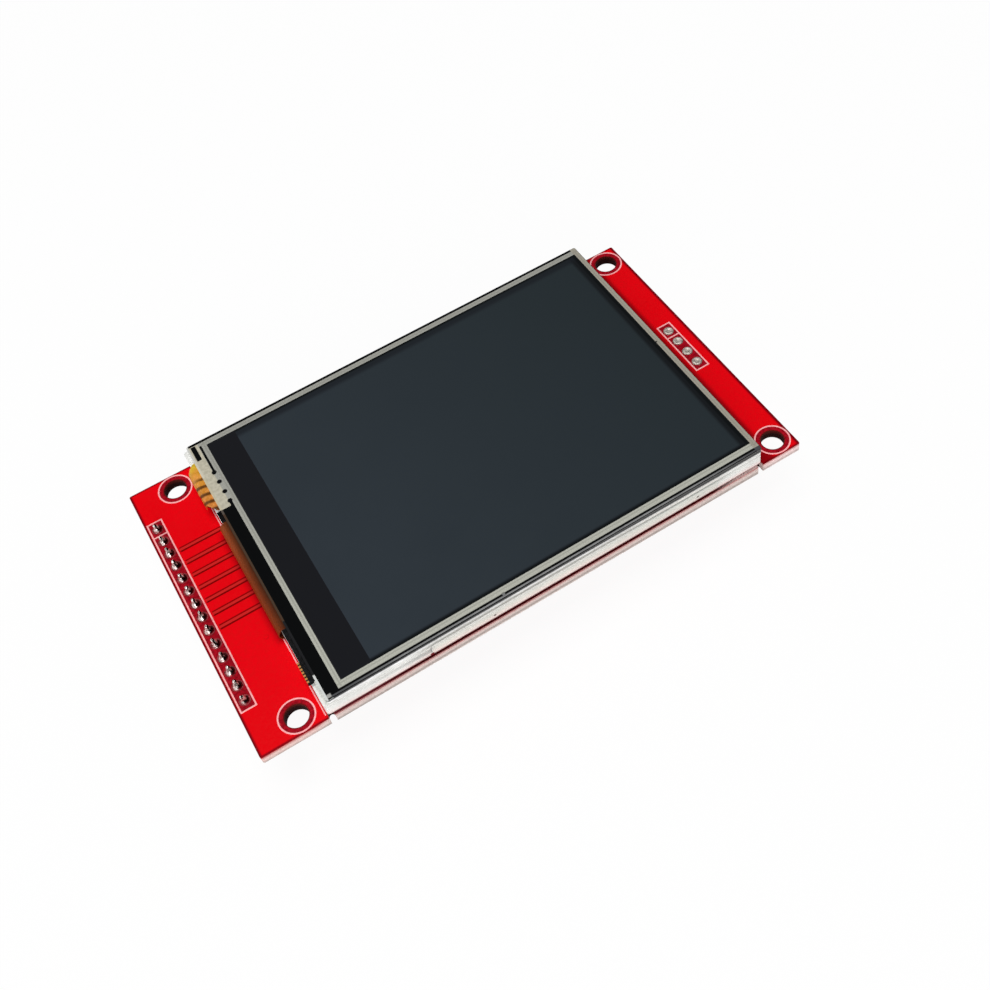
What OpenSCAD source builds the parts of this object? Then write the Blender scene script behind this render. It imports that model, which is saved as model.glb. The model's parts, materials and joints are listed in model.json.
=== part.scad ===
// TFT display module: a circuit board with a backlit liquid-crystal panel and a
// resistive touch panel on its front, a soldered pin header along one short edge
// and a memory-card socket on its back.
// Millimetres. +Z points out of the screen, +X runs from the long header to the
// short one. The origin is the centre of the four fixing holes, on the back face.

/* [Board] */
// Length of the board, along X
board_l = 86; // [86:0.5:90]
// Width of the board, along Y
board_w = 50; // [50:0.5:54]
// Thickness of the board
board_t = 1.6; // [1.2:0.1:2]
// Distance between the fixing holes along X
hole_span_x = 76.7; // [76:0.1:77.5]
// Distance between the fixing holes along Y
hole_span_y = 44.5; // [44:0.1:44.6]
// Diameter of a fixing hole
hole_d = 3.4; // [2.6:0.1:3.6]
// From the fixing holes to the short-header end of the board
end_margin = 2.83; // [2.75:0.01:3.2]

/* [Headers] */
// Distance between neighbouring pins
pitch = 2.54; // [2.54:0.1 inch, 2:2 mm]
// Pins of the long header
main_pins = 14; // [8:1:14]
// Holes of the short header
card_pins = 4; // [2:1:4]
// Length of the pins below their insulator
pin_reach = 6; // [3:0.5:9]

/* [Display panel] */
// Length of the panel's moulded frame
panel_l = 69.2; // [69:0.1:69.4]
// Width of the panel's moulded frame
panel_w = 50; // [49.8:0.1:50]
// Height of the foam tape that carries the frame
panel_gap = 0.7; // [0.5:0.1:1.2]
// Depth of the moulded frame
frame_t = 2.45; // [2.4:0.05:3]
// Length of the window inside the dark border
window_l = 59.8; // [57:0.1:59.9]
// Width of the window inside the dark border
window_w = 46.3; // [44:0.1:46.3]

/* [Card socket] */
// Width of the socket, along the board's long edge
socket_w = 28; // [27:0.5:29]
// Depth of the socket, in from the board's edge
socket_l = 26; // [24:0.5:28]
// Height of the socket
socket_h = 2.8; // [2.7:0.1:3.4]
// Springs that touch the card
socket_springs = 9; // [7:1:9]

/* [Hidden] */
$fn = 40;
eps = 0.01;
top = board_t;
board_right = hole_span_x / 2 + end_margin;
board_left = board_right - board_l;
copper_t = 0.05;
ink_t = 0.04;

// Headers
main_x = board_left + 1.59;
main_y = 0.31;
card_x = hole_span_x / 2 - 0.12;
card_y = 0.19;
hole_r = 0.55;
barrel_r = 0.5;
main_pad_r = 0.85;
card_pad_r = 0.8;
pin_side = 0.64;
strip_h = 2.54;
pin_top = top + 1.15;
pin_bottom = -strip_h - copper_t - pin_reach;
solder_h = 1.55;

// Tracks that leave the long header under the solder mask
track_count = 7;
track_pitch = 2.56;
track_first_y = 11.47;
track_w = 0.62;
track_end_x = board_left + 9.45;

// Panel, from the board up
panel_cx = -0.2;
panel_x0 = panel_cx - panel_l / 2;
panel_x1 = panel_cx + panel_l / 2;
wall_x = 1.2;
z_frame = top + panel_gap;
reflector_t = 0.08;
guide_t = 0.6;
sheet_t = 0.08;
prism_t = 0.1;
rim_t = 0.06;
polar_t = 0.12;
glass_t = 0.4;
z_guide = z_frame + reflector_t;
z_diffuser = z_guide + guide_t;
z_prism = z_diffuser + sheet_t;
z_rim = z_prism + 2 * prism_t;
z_rear_polar = z_rim + rim_t;
z_array = z_rear_polar + polar_t;
z_colour = z_array + glass_t;
z_front_polar = z_colour + glass_t;
z_cell = z_front_polar + polar_t;
z_touch = z_frame + frame_t;
touch_glass_t = 0.65;
spacer_t = 0.08;
film_t = 0.12;
print_t = 0.03;
z_spacer = z_touch + touch_glass_t;
z_film = z_spacer + spacer_t;
z_top = z_film + film_t;

// Plan of the stack inside the frame; the dark mask of the cell leaves the view clear
cell_x0 = panel_x0 + wall_x + 0.1;
cell_x1 = panel_x1 - 1;
cell_w = panel_w - 2;
sheet_x0 = panel_x0 + 4;
sheet_x1 = cell_x1 - 0.1;
sheet_w = panel_w - 3.6;
ledge_l = 3.2;
guide_x0 = panel_x0 + wall_x + 1.2;
cell_half = cell_w / 2 - 0.1;
view_x1 = panel_x1 - 2.3;
view_half = cell_half - 1.6;

// Display flex: its bend leaves the ledge on the long-header side, and the dark
// bond sheet on the ledge runs on to both sides of it
flex_t = 0.1;
flex_y0 = -10.9;
flex_y1 = 10.2;
flex_bend_x = panel_x0 + 0.5;
bond_y0 = -20.6;
bond_y1 = 12.4;
bond_l = 1.05;
lug_l = 0.33;
lug_y1 = -16.7;

// Touch panel
touch_x0 = panel_x0 + 0.7;
touch_x1 = panel_x1;
touch_w = panel_w - 0.1;
clear_edge = 0.3;
window_x0 = touch_x0 + 7.4;
window_y1 = touch_w / 2 - 1.6;
tail_t = 0.08;
tail_y0 = 11.5;
tail_y1 = 21.5;
tail_neck_y0 = 15.5;
tail_neck_y1 = 20.5;
tail_land = 1;
tail_bend_r = 1.6;

// Silver print of the touch panel
ring_w = 0.87;
ring_x0 = touch_x0 + 2.1;
ring_x1 = touch_x1 - 0.05;
ring_y0 = -touch_w / 2 + 0.9;
ring_y1 = touch_w / 2 - 0.45;

// Card socket, on the back
socket_cx = 17;
socket_y1 = board_w / 2;
socket_y0 = socket_y1 - socket_l;
sheet_metal_t = 0.2;
spring_pitch = 2.5;
spring_w = 0.8;
spring_t = 0.15;

// Small parts on the back, as [x, y] from the middle of the fixing holes
chip_at = [-12, 2];
chip_pins = 8;
resistor_l = 1.6;
resistor_w = 0.8;
resistor_h = 0.45;
cap_l = 2;
cap_w = 1.25;
cap_h = 0.85;
end_l = 0.3;
resistors_at = [[-22, -9], [-22, -6.6], [-12, -4.5], [-9.4, -4.5], [-6, 4.5], [-6, 2]];
capacitors_at = [[-30, 16.5], [-30, 7.5], [-17.5, 2], [-12, 8]];

// ---------------------------------------------------------------- shared shapes

// Rectangle from x0..x1, y0..y1
module rect(x0, x1, y0, y1) {
    translate([x0, y0]) square([x1 - x0, y1 - y0]);
}

// The same rectangle with round corners
module round_rect(x0, x1, y0, y1, r) {
    rect(x0 + r, x1 - r, y0, y1);
    rect(x0, x1, y0 + r, y1 - r);
    for (x = [x0 + r, x1 - r], y = [y0 + r, y1 - r]) translate([x, y]) circle(r);
}

// Rectangular outline whose line lies inside x0..x1, y0..y1
module rect_line(x0, x1, y0, y1, line) {
    difference() {
        rect(x0, x1, y0, y1);
        rect(x0 + line, x1 - line, y0 + line, y1 - line);
    }
}

// Flat sheet between two heights
module slab(z, t) {
    translate([0, 0, z]) linear_extrude(t) children();
}

// Profile drawn in X-Z and run along Y from y0 to y1
module run_y(y0, y1) {
    translate([0, y1, 0]) rotate([90, 0, 0]) linear_extrude(y1 - y0) children();
}

// Strip of thickness t that follows a list of [along, up] points
module strip_profile(path, t) {
    n = len(path);
    polygon(concat(path, [for (i = [n - 1:-1:0]) path[i] + [0, t]]));
}

module at_fixing_holes() {
    for (x = [-1, 1], y = [-1, 1]) translate([x * hole_span_x / 2, y * hole_span_y / 2]) children();
}

// Pin i of the long header counts from the far end; pin 1 is marked by a line
function main_pin_y(i) = main_y + ((main_pins + 1) / 2 - i) * pitch;
function card_pin_y(i) = card_y + ((card_pins + 1) / 2 - i) * pitch;

module at_main_pins() {
    for (i = [1:main_pins]) translate([main_x, main_pin_y(i)]) children();
}

module at_card_pins() {
    for (i = [1:card_pins]) translate([card_x, card_pin_y(i)]) children();
}

// ---------------------------------------------------------------- circuit board

// Slot with a round end, let into a long edge beside a corner of the panel
module edge_notch(x, side) {
    depth = 0.75;
    w = 0.85;
    translate([x, side * (board_w / 2 - depth)]) {
        circle(w / 2);
        rect(-w / 2, w / 2, side > 0 ? 0 : -depth - 1, side > 0 ? depth + 1 : 0);
    }
}

module board_plan() {
    difference() {
        round_rect(board_left, board_right, -board_w / 2, board_w / 2, 0.25);
        at_fixing_holes() circle(d = hole_d);
        at_main_pins() circle(hole_r);
        at_card_pins() circle(hole_r);
        for (side = [-1, 1]) {
            edge_notch(panel_x0 + 0.38, side);
            edge_notch(panel_x1 - 0.14, side);
        }
    }
}

module circuit_board() {
    via_x = track_end_x - 1.6;
    color("crimson") {
        linear_extrude(top) board_plan();
        slab(top, copper_t) {
            for (i = [0:track_count - 1]) translate([0, track_first_y - i * track_pitch]) {
                rect(main_x + 1.3, track_end_x - track_w / 2, -track_w / 2, track_w / 2);
                translate([track_end_x - track_w / 2, 0]) circle(track_w / 2);
            }
            translate([via_x, -9.1]) circle(0.3);
        }
    }
}

// Ink rings round the fixing holes and the box round the short header, on both faces
module shared_legend(line) {
    ring_r = 2.63;
    card_half = card_pins * pitch / 2 + 0.31;
    at_fixing_holes() difference() {
        circle(ring_r);
        circle(ring_r - line);
    }
    rect_line(card_x - 1.2, card_x + 1.2, card_y - card_half, card_y + card_half, line);
}

module silkscreen() {
    line = 0.22;
    main_half = main_pins * pitch / 2 + 0.31;
    panel_line_x = panel_x0 - 0.36;
    color("white") slab(top, ink_t) {
        shared_legend(line);
        rect_line(main_x - 1.26, main_x + 1.17, main_y - main_half, main_y + main_half, line);
        mark_y = main_pin_y(1) - pitch / 2;
        rect(main_x - 1.1, main_x + 1.1, mark_y - line / 2, mark_y + line / 2);
        card_mark_y = card_pin_y(1) - pitch / 2;
        rect(card_x - 1.1, card_x + 1.1, card_mark_y - line / 2, card_mark_y + line / 2);
        rect(panel_line_x, panel_line_x + 0.18, -board_w / 2 + 0.6, board_w / 2 - 0.6);
    }
    // back: a bar at each end of the controller and a dot at its first lead
    color("white") slab(-ink_t, ink_t) {
        shared_legend(line);
        translate(chip_at) {
            for (y = [-2.85, 2.85]) rect(-2.2, 2.2, y - line / 2, y + line / 2);
            translate([-2.6, 2.9]) circle(0.25);
        }
    }
}

// Plated barrel with a land on each face of the board
module plated_hole(pad_r) {
    rotate_extrude() polygon([
        [barrel_r, -copper_t], [pad_r, -copper_t], [pad_r, 0], [hole_r, 0],
        [hole_r, top], [pad_r, top], [pad_r, top + copper_t], [barrel_r, top + copper_t]]);
}

module header_hole_plating() {
    color("goldenrod") at_main_pins() plated_hole(main_pad_r);
}

module card_hole_plating() {
    color("goldenrod") at_card_pins() plated_hole(card_pad_r);
}

// Solder of one pin: it fills the barrel, spreads over the land and climbs to a point
module solder_cone() {
    neck_r = 0.4;
    neck_h = 0.95;
    steps = 6;
    land = top + copper_t;
    fillet = [for (k = [0:steps]) [
        neck_r + (main_pad_r - 0.03 - neck_r) * pow(1 - k / steps, 2.2),
        land + neck_h * k / steps]];
    rotate_extrude() polygon(concat(
        [[0, -copper_t], [barrel_r, -copper_t], [barrel_r, land]],
        fillet,
        [[0.27, land + 1.3], [0.12, land + 1.48], [0, land + solder_h]]));
}

module solder_joints() {
    color("silver") difference() {
        at_main_pins() solder_cone();
        at_main_pins() header_pin_bar();
    }
}

// Solder that fills an unused hole and dishes in its middle
module card_hole_solder() {
    land = top + copper_t;
    color("silver") at_card_pins() rotate_extrude() polygon([
        [0, -copper_t], [barrel_r, -copper_t], [barrel_r, land], [card_pad_r - 0.03, land],
        [0.72, land + 0.1], [0.6, land + 0.18], [0.45, land + 0.18], [0.28, land + 0.08],
        [0, land + 0.03]]);
}

// Insulator: one chamfered cell for each pin
module header_strip() {
    half = pitch / 2;
    cut = 0.45;
    color([0.12, 0.12, 0.13]) translate([0, 0, -copper_t - strip_h]) linear_extrude(strip_h)
        difference() {
            at_main_pins() polygon([
                [-half + cut, half], [-half, half - cut], [-half, -half + cut], [-half + cut, -half],
                [half - cut, -half], [half, -half + cut], [half, half - cut], [half - cut, half]]);
            at_main_pins() square(pin_side, center = true);
        }
}

// Square pin with four-sided points at both ends
module header_pin_bar() {
    s = pin_side / 2;
    tip = 0.14;
    taper = 0.45;
    side_view = [
        [-tip, pin_bottom], [tip, pin_bottom], [s, pin_bottom + taper], [s, pin_top - taper],
        [tip, pin_top], [-tip, pin_top], [-s, pin_top - taper], [-s, pin_bottom + taper]];
    intersection() {
        rotate([90, 0, 0]) linear_extrude(pin_side, center = true) polygon(side_view);
        rotate([90, 0, 90]) linear_extrude(pin_side, center = true) polygon(side_view);
    }
}

module header_pin(i) {
    color("gold") translate([main_x, main_pin_y(i), 0]) header_pin_bar();
}

// ---------------------------------------------------------------- display panel

module foam_tape(y0, y1) {
    color([0.2, 0.2, 0.22]) slab(top, panel_gap) rect(panel_x0 + 9, panel_x1 - 3, y0, y1);
}

module foam_tape_near() {
    foam_tape(-panel_w / 2 + 0.9, -panel_w / 2 + 9);
}

module foam_tape_far() {
    foam_tape(panel_w / 2 - 9, panel_w / 2 - 0.9);
}

// Moulded frame: the lower pocket holds the backlight sheets, the wider upper one
// the glass. The wall towards the long header is open where the flex comes out.
module backlight_frame() {
    half = panel_w / 2;
    lip = 0.5;
    groove_z = z_touch - 0.55;
    color("white") difference() {
        slab(z_frame, frame_t) round_rect(panel_x0, panel_x1, -half, half, 0.5);
        // lower pocket, right through the floor
        slab(z_frame - 1, z_rim - z_frame + 1)
            rect(panel_x0 + wall_x, sheet_x1 + 0.2, -sheet_w / 2 - 0.1, sheet_w / 2 + 0.1);
        // upper pocket
        slab(z_rim, frame_t)
            rect(panel_x0 + wall_x, cell_x1 + 0.1, -cell_w / 2 - 0.1, cell_w / 2 + 0.1);
        // opening for the flex: deep where it bends, shallow beside it, stepped at the corners
        slab(z_array, frame_t)
            rect(panel_x0 - 1, panel_x0 + wall_x + eps, flex_y0 - 0.4, flex_y1 + 0.4);
        slab(z_colour, frame_t) {
            rect(panel_x0 - 1, panel_x0 + lip, -half + 3.5, half - 3.5);
            rect(panel_x0 - 1, panel_x0 + wall_x + eps, -half + 4.1, half - 4.1);
        }
        // groove under the rim of both long walls
        for (side = [-1, 1]) translate([0, side * half, groove_z]) rotate([45, 0, 0])
            cube([2 * panel_l, 0.16, 0.16], center = true);
        // shallow bed of the clear tape, and two gate marks
        tape_bed();
        gate_marks();
    }
}

module gate_marks() {
    for (x = [panel_x0 + 25.3, panel_x0 + 58.2])
        translate([x, -panel_w / 2, z_frame + 0.75]) rotate([90, 0, 0])
            cylinder(r = 0.18, h = 0.3, center = true);
}

// The bed on the near wall; the tape fills it
module tape_bed(depth = 0.08) {
    z0 = z_frame + 0.25;
    h = frame_t - 1.05;
    x0 = panel_x0 + 15.6;
    x1 = panel_x0 + 61.6;
    translate([0, -panel_w / 2 + depth, 0]) rotate([90, 0, 0]) linear_extrude(depth + eps) {
        translate([x0 + h / 2, z0 + h / 2]) circle(h / 2);
        rect(x0 + h / 2, x1, z0, z0 + h);
    }
}

module side_tape() {
    color([0.8, 0.86, 0.84]) difference() {
        intersection() {
            tape_bed();
            translate([-panel_l, -panel_w / 2, 0]) cube([2 * panel_l, 1, 10]);
        }
        gate_marks();
    }
}

module reflector_sheet() {
    color("white") slab(z_frame, reflector_t)
        rect(panel_x0 + wall_x + 0.1, sheet_x1, -sheet_w / 2, sheet_w / 2);
}

// Clear guide with shallow scallops in the edge that faces the diodes
module light_guide() {
    color([0.85, 0.93, 0.95]) slab(z_guide, guide_t) difference() {
        rect(guide_x0, sheet_x1, -sheet_w / 2, sheet_w / 2);
        for (y = [-sheet_w / 2 + 2:2:sheet_w / 2 - 2]) translate([guide_x0 - 0.75, y]) circle(0.9);
    }
}

module diffuser_sheet() {
    color([0.95, 0.95, 0.93]) slab(z_diffuser, sheet_t)
        rect(sheet_x0, sheet_x1, -sheet_w / 2, sheet_w / 2);
}

module prism_sheet_lower() {
    color([0.9, 0.92, 0.94]) slab(z_prism, prism_t)
        rect(sheet_x0, sheet_x1, -sheet_w / 2, sheet_w / 2);
}

module prism_sheet_upper() {
    color([0.86, 0.9, 0.94]) slab(z_prism + prism_t, prism_t)
        rect(sheet_x0, sheet_x1, -sheet_w / 2, sheet_w / 2);
}

// The part of the cell that shows a picture
module view_plan() {
    rect(window_x0 - 1, view_x1, -view_half, view_half);
}

module rim_tape() {
    color([0.08, 0.08, 0.09]) slab(z_rim, rim_t) difference() {
        rect(cell_x0, cell_x1, -cell_w / 2, cell_w / 2);
        view_plan();
    }
}

module led_flex() {
    color([0.93, 0.8, 0.4]) slab(z_diffuser, sheet_t)
        rect(panel_x0 + wall_x + 0.1, sheet_x0 - 0.1, -17.5, 17.5);
}

module backlight_leds() {
    led = [0.95, 3.8, 0.5];
    color("lightyellow") for (i = [0:3])
        translate([guide_x0 - led.x - 0.02, -14 + i * 28 / 3 - led.y / 2, z_diffuser - led.z]) cube(led);
}

module rear_polarizer() {
    color([0.25, 0.27, 0.3]) slab(z_rear_polar, polar_t)
        rect(sheet_x0 - 1, cell_x1 - 0.2, -cell_half + 0.2, cell_half - 0.2);
}

module array_glass() {
    color([0.16, 0.18, 0.2]) slab(z_array, glass_t)
        rect(cell_x0, cell_x1, -cell_half, cell_half);
}

module colour_glass() {
    color([0.13, 0.15, 0.17]) slab(z_colour, glass_t)
        rect(cell_x0 + ledge_l, cell_x1, -cell_half, cell_half);
}

module front_polarizer() {
    color([0.1, 0.12, 0.14]) slab(z_front_polar, polar_t)
        rect(cell_x0 + ledge_l + 0.3, cell_x1 - 0.3, -cell_half + 0.3, cell_half - 0.3);
}

module driver_chip() {
    color([0.2, 0.2, 0.22]) slab(z_colour, 0.3) rect(cell_x0 + 1.4, cell_x0 + 2.5, -10, 8);
}

// Display flex: a bond sheet on the ledge with a lug that carries the test comb, a
// half-round bend and a tail under the panel
module lcd_flex() {
    low = top + flex_t / 2;
    high = z_colour + flex_t / 2;
    r = (high - low) / 2;
    bond_x1 = cell_x0 + bond_l;
    color([0.5, 0.26, 0.1]) {
        run_y(flex_y0, flex_y1) {
            rect(flex_bend_x, bond_x1, z_colour, z_colour + flex_t);
            rect(flex_bend_x, panel_x0 + 11, top, top + flex_t);
            translate([flex_bend_x, (high + low) / 2]) difference() {
                circle(r + flex_t / 2);
                circle(r - flex_t / 2);
                rect(0, 2 * r, -2 * r, 2 * r);
            }
        }
        slab(z_colour, flex_t) {
            rect(panel_x0 + 0.05, bond_x1, bond_y0, bond_y1);
            rect(panel_x0 - lug_l, bond_x1, bond_y0, lug_y1);
        }
    }
}

// ---------------------------------------------------------------- touch panel

module touch_plan() {
    round_rect(touch_x0, touch_x1, -touch_w / 2, touch_w / 2, 0.35);
}

module window_plan() {
    rect(window_x0, window_x0 + window_l, window_y1 - window_w, window_y1);
}

// Where the film carries no print: the window and a clear edge on the flex side
module clear_plan() {
    window_plan();
    intersection() {
        touch_plan();
        rect(touch_x0, touch_x0 + clear_edge, -touch_w / 2, touch_w / 2);
    }
}

module touch_adhesive() {
    x0 = cell_x0 + ledge_l + 0.4;
    x1 = cell_x1 - 0.4;
    y = cell_half - 0.4;
    color([0.06, 0.06, 0.07]) slab(z_cell, z_touch - z_cell) difference() {
        rect(x0, x1, -y, y);
        view_plan();
    }
}

module touch_glass() {
    color([0.3, 0.36, 0.38]) slab(z_touch, touch_glass_t) touch_plan();
}

module touch_spacer() {
    color([0.55, 0.58, 0.56]) slab(z_spacer, spacer_t) difference() {
        touch_plan();
        rect(ring_x0 + 0.5, touch_x1 - 1.2, -touch_w / 2 + 1.2, touch_w / 2 - 1.2);
        rect(touch_x0 - 1, touch_x0 + tail_land, tail_y0, tail_y1);
    }
}

// Silver ring, the tail area that meets the flex, and the fine line along the near edge
module silver_plan() {
    right = ring_x1 - ring_w;
    line_y = -touch_w / 2 + 0.13;
    tail_x0 = touch_x0 + clear_edge;
    tail_x1 = ring_x0 - 0.45;
    tail_end = tail_y0 - 0.45;
    difference() {
        union() {
            rect_line(ring_x0, ring_x1, ring_y0, ring_y1, ring_w);
            rect(right, ring_x1, -touch_w / 2 + 0.05, touch_w / 2 - 0.05);
            rect(touch_x0 + 0.9, right + eps, line_y, line_y + 0.26);
            rect(ring_x0 + 24.4, ring_x0 + 24.8, line_y, ring_y0 + eps);
            rect(tail_x0, tail_x1, tail_end, ring_y1);
            rect(tail_x1 - eps, ring_x0 + eps, tail_end + 1.3, ring_y1);
        }
        rect(tail_x0 + 0.31, tail_x0 + 0.97, tail_y1 - 0.07, ring_y1 - 0.2);
        rect(tail_x0 + 1.45, tail_x0 + 1.8, 18, ring_y1 - 0.6);
        rect(tail_x0 + 1.3, tail_x0 + 1.75, 17.7, 18.2);
        for (y = [13.95, 16.05]) translate([touch_x0 + 1.86, y]) circle(0.3);
    }
}

module touch_silver_print() {
    color([0.72, 0.73, 0.69]) slab(z_top - print_t, print_t) silver_plan();
}

module touch_border_print() {
    color([0.1, 0.1, 0.12]) slab(z_top - print_t, print_t) difference() {
        touch_plan();
        clear_plan();
        silver_plan();
    }
}

// Film: the print is let into its face, so only the clear areas stand to full height
module touch_film() {
    color([0.18, 0.22, 0.25]) {
        slab(z_film, film_t - print_t) touch_plan();
        slab(z_film, film_t) clear_plan();
    }
}

// Quarter bend of radius r about its own centre; side is 1 for the upper quarter
module quarter_bend(r, t, side) {
    intersection() {
        difference() {
            circle(r + t / 2);
            circle(r - t / 2);
        }
        rect(-2 * r, 0, side > 0 ? 0 : -2 * r, side > 0 ? 2 * r : 0);
    }
}

// Touch flex: wide where it is bonded, necked as it comes down and goes under the panel
module touch_flex() {
    bend_x = touch_x0;
    upper_z = z_film - tail_t / 2 - tail_bend_r;
    lower_z = top + tail_t / 2 + tail_bend_r;
    wall_x0 = bend_x - tail_bend_r - tail_t / 2;
    color([0.9, 0.6, 0.2]) {
        run_y(tail_y0, tail_y1) rect(bend_x, touch_x0 + tail_land, z_film - tail_t, z_film);
        intersection() {
            run_y(tail_y0, tail_y1) {
                translate([bend_x, upper_z]) quarter_bend(tail_bend_r, tail_t, 1);
                rect(wall_x0, wall_x0 + tail_t, lower_z, upper_z);
            }
            linear_extrude(z_top) polygon([
                [bend_x, tail_y0], [bend_x - 0.3, tail_y0], [wall_x0 - 1, tail_neck_y0 + 1.1],
                [wall_x0 - 1, tail_neck_y1 - 0.3], [bend_x - 0.3, tail_y1], [bend_x, tail_y1]]);
        }
        run_y(tail_neck_y0, tail_neck_y1) {
            translate([bend_x, lower_z]) quarter_bend(tail_bend_r, tail_t, -1);
            rect(bend_x, panel_x0 + 7, top, top + tail_t);
        }
    }
}

// ---------------------------------------------------------------- card socket

// Everything below is drawn standing up from the board and then turned to its back
module on_back() {
    mirror([0, 0, 1]) children();
}

function spring_x(i) = socket_cx + (i - (socket_springs - 1) / 2) * spring_pitch;

// Moulded base: open floor, side rails, and a rear block slotted for the springs
module card_socket_base() {
    half = socket_w / 2 - sheet_metal_t - 0.05;
    x0 = socket_cx - half;
    x1 = socket_cx + half;
    y1 = socket_y1 - 0.8;
    in_h = socket_h - sheet_metal_t - 0.05;
    color([0.14, 0.14, 0.15]) on_back() difference() {
        union() {
            slab(0, 0.45) rect(x0, x1, socket_y0, y1);
            for (x = [x0, x1 - 1.6]) slab(0, in_h) rect(x, x + 1.6, socket_y0, y1);
            slab(0, in_h) rect(x0, x1, socket_y0, socket_y0 + 2.6);
        }
        // floor window under the card
        slab(-1, 3) round_rect(x0 + 4, x1 - 4, socket_y0 + 12.5, y1 - 2.5, 0.8);
        // slots of the springs
        for (i = [0:socket_springs - 1])
            translate([spring_x(i) - spring_w / 2 - 0.1, socket_y0 - 1, -1]) cube([spring_w + 0.2, 12.5, 1.8]);
        // lead-in that guides the card
        translate([0, y1, in_h]) rotate([45, 0, 0]) cube([4 * half, 0.7, 0.7], center = true);
    }
}

// Shell folded from one sheet: roof, two side walls, spring tongues and solder feet
module card_socket_shell() {
    x0 = socket_cx - socket_w / 2;
    x1 = socket_cx + socket_w / 2;
    t = sheet_metal_t;
    roof = socket_h - t;
    tongue_w = 2.4;
    tongue_l = 7;
    color("silver") on_back() {
        difference() {
            slab(0.1, socket_h - 0.1) rect(x0, x1, socket_y0 + 0.3, socket_y1);
            slab(-1, roof + 1) rect(x0 + t, x1 - t, socket_y0 - 1, socket_y1 + 1);
            // roof: two slots round each tongue, a row of windows over the springs
            for (x = [x0 + 5, x1 - 5]) slab(1, 4) difference() {
                rect(x - tongue_w / 2 - 0.5, x + tongue_w / 2 + 0.5, socket_y0 + 9, socket_y0 + 9.5 + tongue_l);
                rect(x - tongue_w / 2, x + tongue_w / 2, socket_y0, socket_y0 + 9.5);
            }
            for (i = [0:2:socket_springs - 1]) slab(1, 4)
                round_rect(spring_x(i) - 0.9, spring_x(i) + 0.9, socket_y0 + 3.6, socket_y0 + 6.4, 0.4);
            slab(1, 4) round_rect(socket_cx - 5, socket_cx + 5, socket_y1 - 2.2, socket_y1 + 2, 1.2);
            // side walls: a window at each card latch and reliefs between the feet
            for (x = [x0, x1]) {
                translate([x - 1, socket_y0 + 12, 0.9]) cube([2, 3.2, 1.1]);
                for (y = [socket_y0 + 4, socket_y0 + 17.5]) translate([x - 1, y, -1]) cube([2, 6, 1.4]);
            }
        }
        // tongues dip into the slot and press on the card
        for (x = [x0 + 5, x1 - 5])
            translate([x + tongue_w / 2, 0, 0]) rotate([90, 0, -90]) linear_extrude(tongue_w)
                strip_profile([
                    [-socket_y0 - 9, roof], [-socket_y0 - 9.6, roof], [-socket_y0 - 13.4, roof - 0.42],
                    [-socket_y0 - 14.6, roof - 0.42], [-socket_y0 - 15.6, roof - 0.12]], t);
        // solder feet turned out on the board
        for (y = [socket_y0 + 1.4, socket_y0 + 11, socket_y1 - 1.9]) {
            slab(0, t) rect(x0 - 1.1, x0 + t, y, y + 1.6);
            slab(0, t) rect(x1 - t, x1 + 1.1, y, y + 1.6);
        }
    }
}

// Leaf springs: a soldered foot behind the block, a straight root and a raised nose
module card_socket_springs() {
    y0 = socket_y0;
    color("gold") on_back() for (i = [0:socket_springs - 1])
        translate([spring_x(i) + spring_w / 2, 0, 0]) rotate([90, 0, -90]) linear_extrude(spring_w)
            strip_profile([
                [-y0 + 1.3, 0], [-y0 + 0.5, 0], [-y0 + 0.2, 0.3], [-y0 - 3, 0.3],
                [-y0 - 8, 0.95], [-y0 - 8.8, 1.05], [-y0 - 9.4, 0.95], [-y0 - 10.3, 0.6]], spring_t);
}

// ---------------------------------------------------------------- parts on the back

// Gull-wing lead: its root is 0.2 mm inside a body whose side is half_body from the middle
module gull_lead(half_body, reach, h, w) {
    t = 0.15;
    translate([0, w / 2, 0]) rotate([90, 0, 0]) linear_extrude(w) strip_profile([
        [half_body - 0.2, h], [half_body + 0.25 * reach, h], [half_body + 0.5 * reach, 0],
        [half_body + reach, 0]], t);
}

// Moulded body whose sides draw in from a parting line half way up
module moulded_body(l, w, z0, z1) {
    draft = 0.12;
    mid = (z0 + z1) / 2;
    half = [l / 2, w / 2];
    function side(a) = [[-a + draft, z0], [a - draft, z0], [a, mid], [a - draft, z1], [-a + draft, z1], [-a, mid]];
    intersection() {
        rotate([90, 0, 0]) linear_extrude(w, center = true) polygon(side(half.x));
        rotate([90, 0, 90]) linear_extrude(l, center = true) polygon(side(half.y));
    }
}

module controller_leads() {
    for (side = [0, 180], i = [0:chip_pins - 1])
        rotate([0, 0, side]) translate([0, (i - (chip_pins - 1) / 2) * 0.65, 0])
            gull_lead(2.2, 1, 0.5, 0.24);
}

module touch_controller() {
    color([0.1, 0.1, 0.11]) on_back() translate(chip_at) difference() {
        moulded_body(4.4, 5, 0.1, 1.05);
        translate([-1.5, 1.8, 1]) cylinder(r = 0.3, h = 1);
        controller_leads();
    }
}

module touch_controller_leads() {
    color("silver") on_back() translate(chip_at) controller_leads();
}

// Three-lead transistor outline
module three_lead_part(at) {
    color([0.1, 0.1, 0.11]) on_back() translate(at) {
        moulded_body(1.3, 2.9, 0.05, 1.05);
        gull_lead(0.65, 0.6, 0.5, 0.4);
        for (y = [-0.95, 0.95]) translate([0, y, 0]) mirror([1, 0, 0]) gull_lead(0.65, 0.6, 0.5, 0.4);
    }
}

module voltage_regulator() {
    three_lead_part([-30, 12]);
}

module backlight_transistor() {
    three_lead_part([-22, -14]);
}

module chip_body(l, w, h) {
    translate([-l / 2 + end_l, -w / 2 + 0.02, 0.03]) cube([l - 2 * end_l, w - 0.04, h - 0.06]);
}

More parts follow.
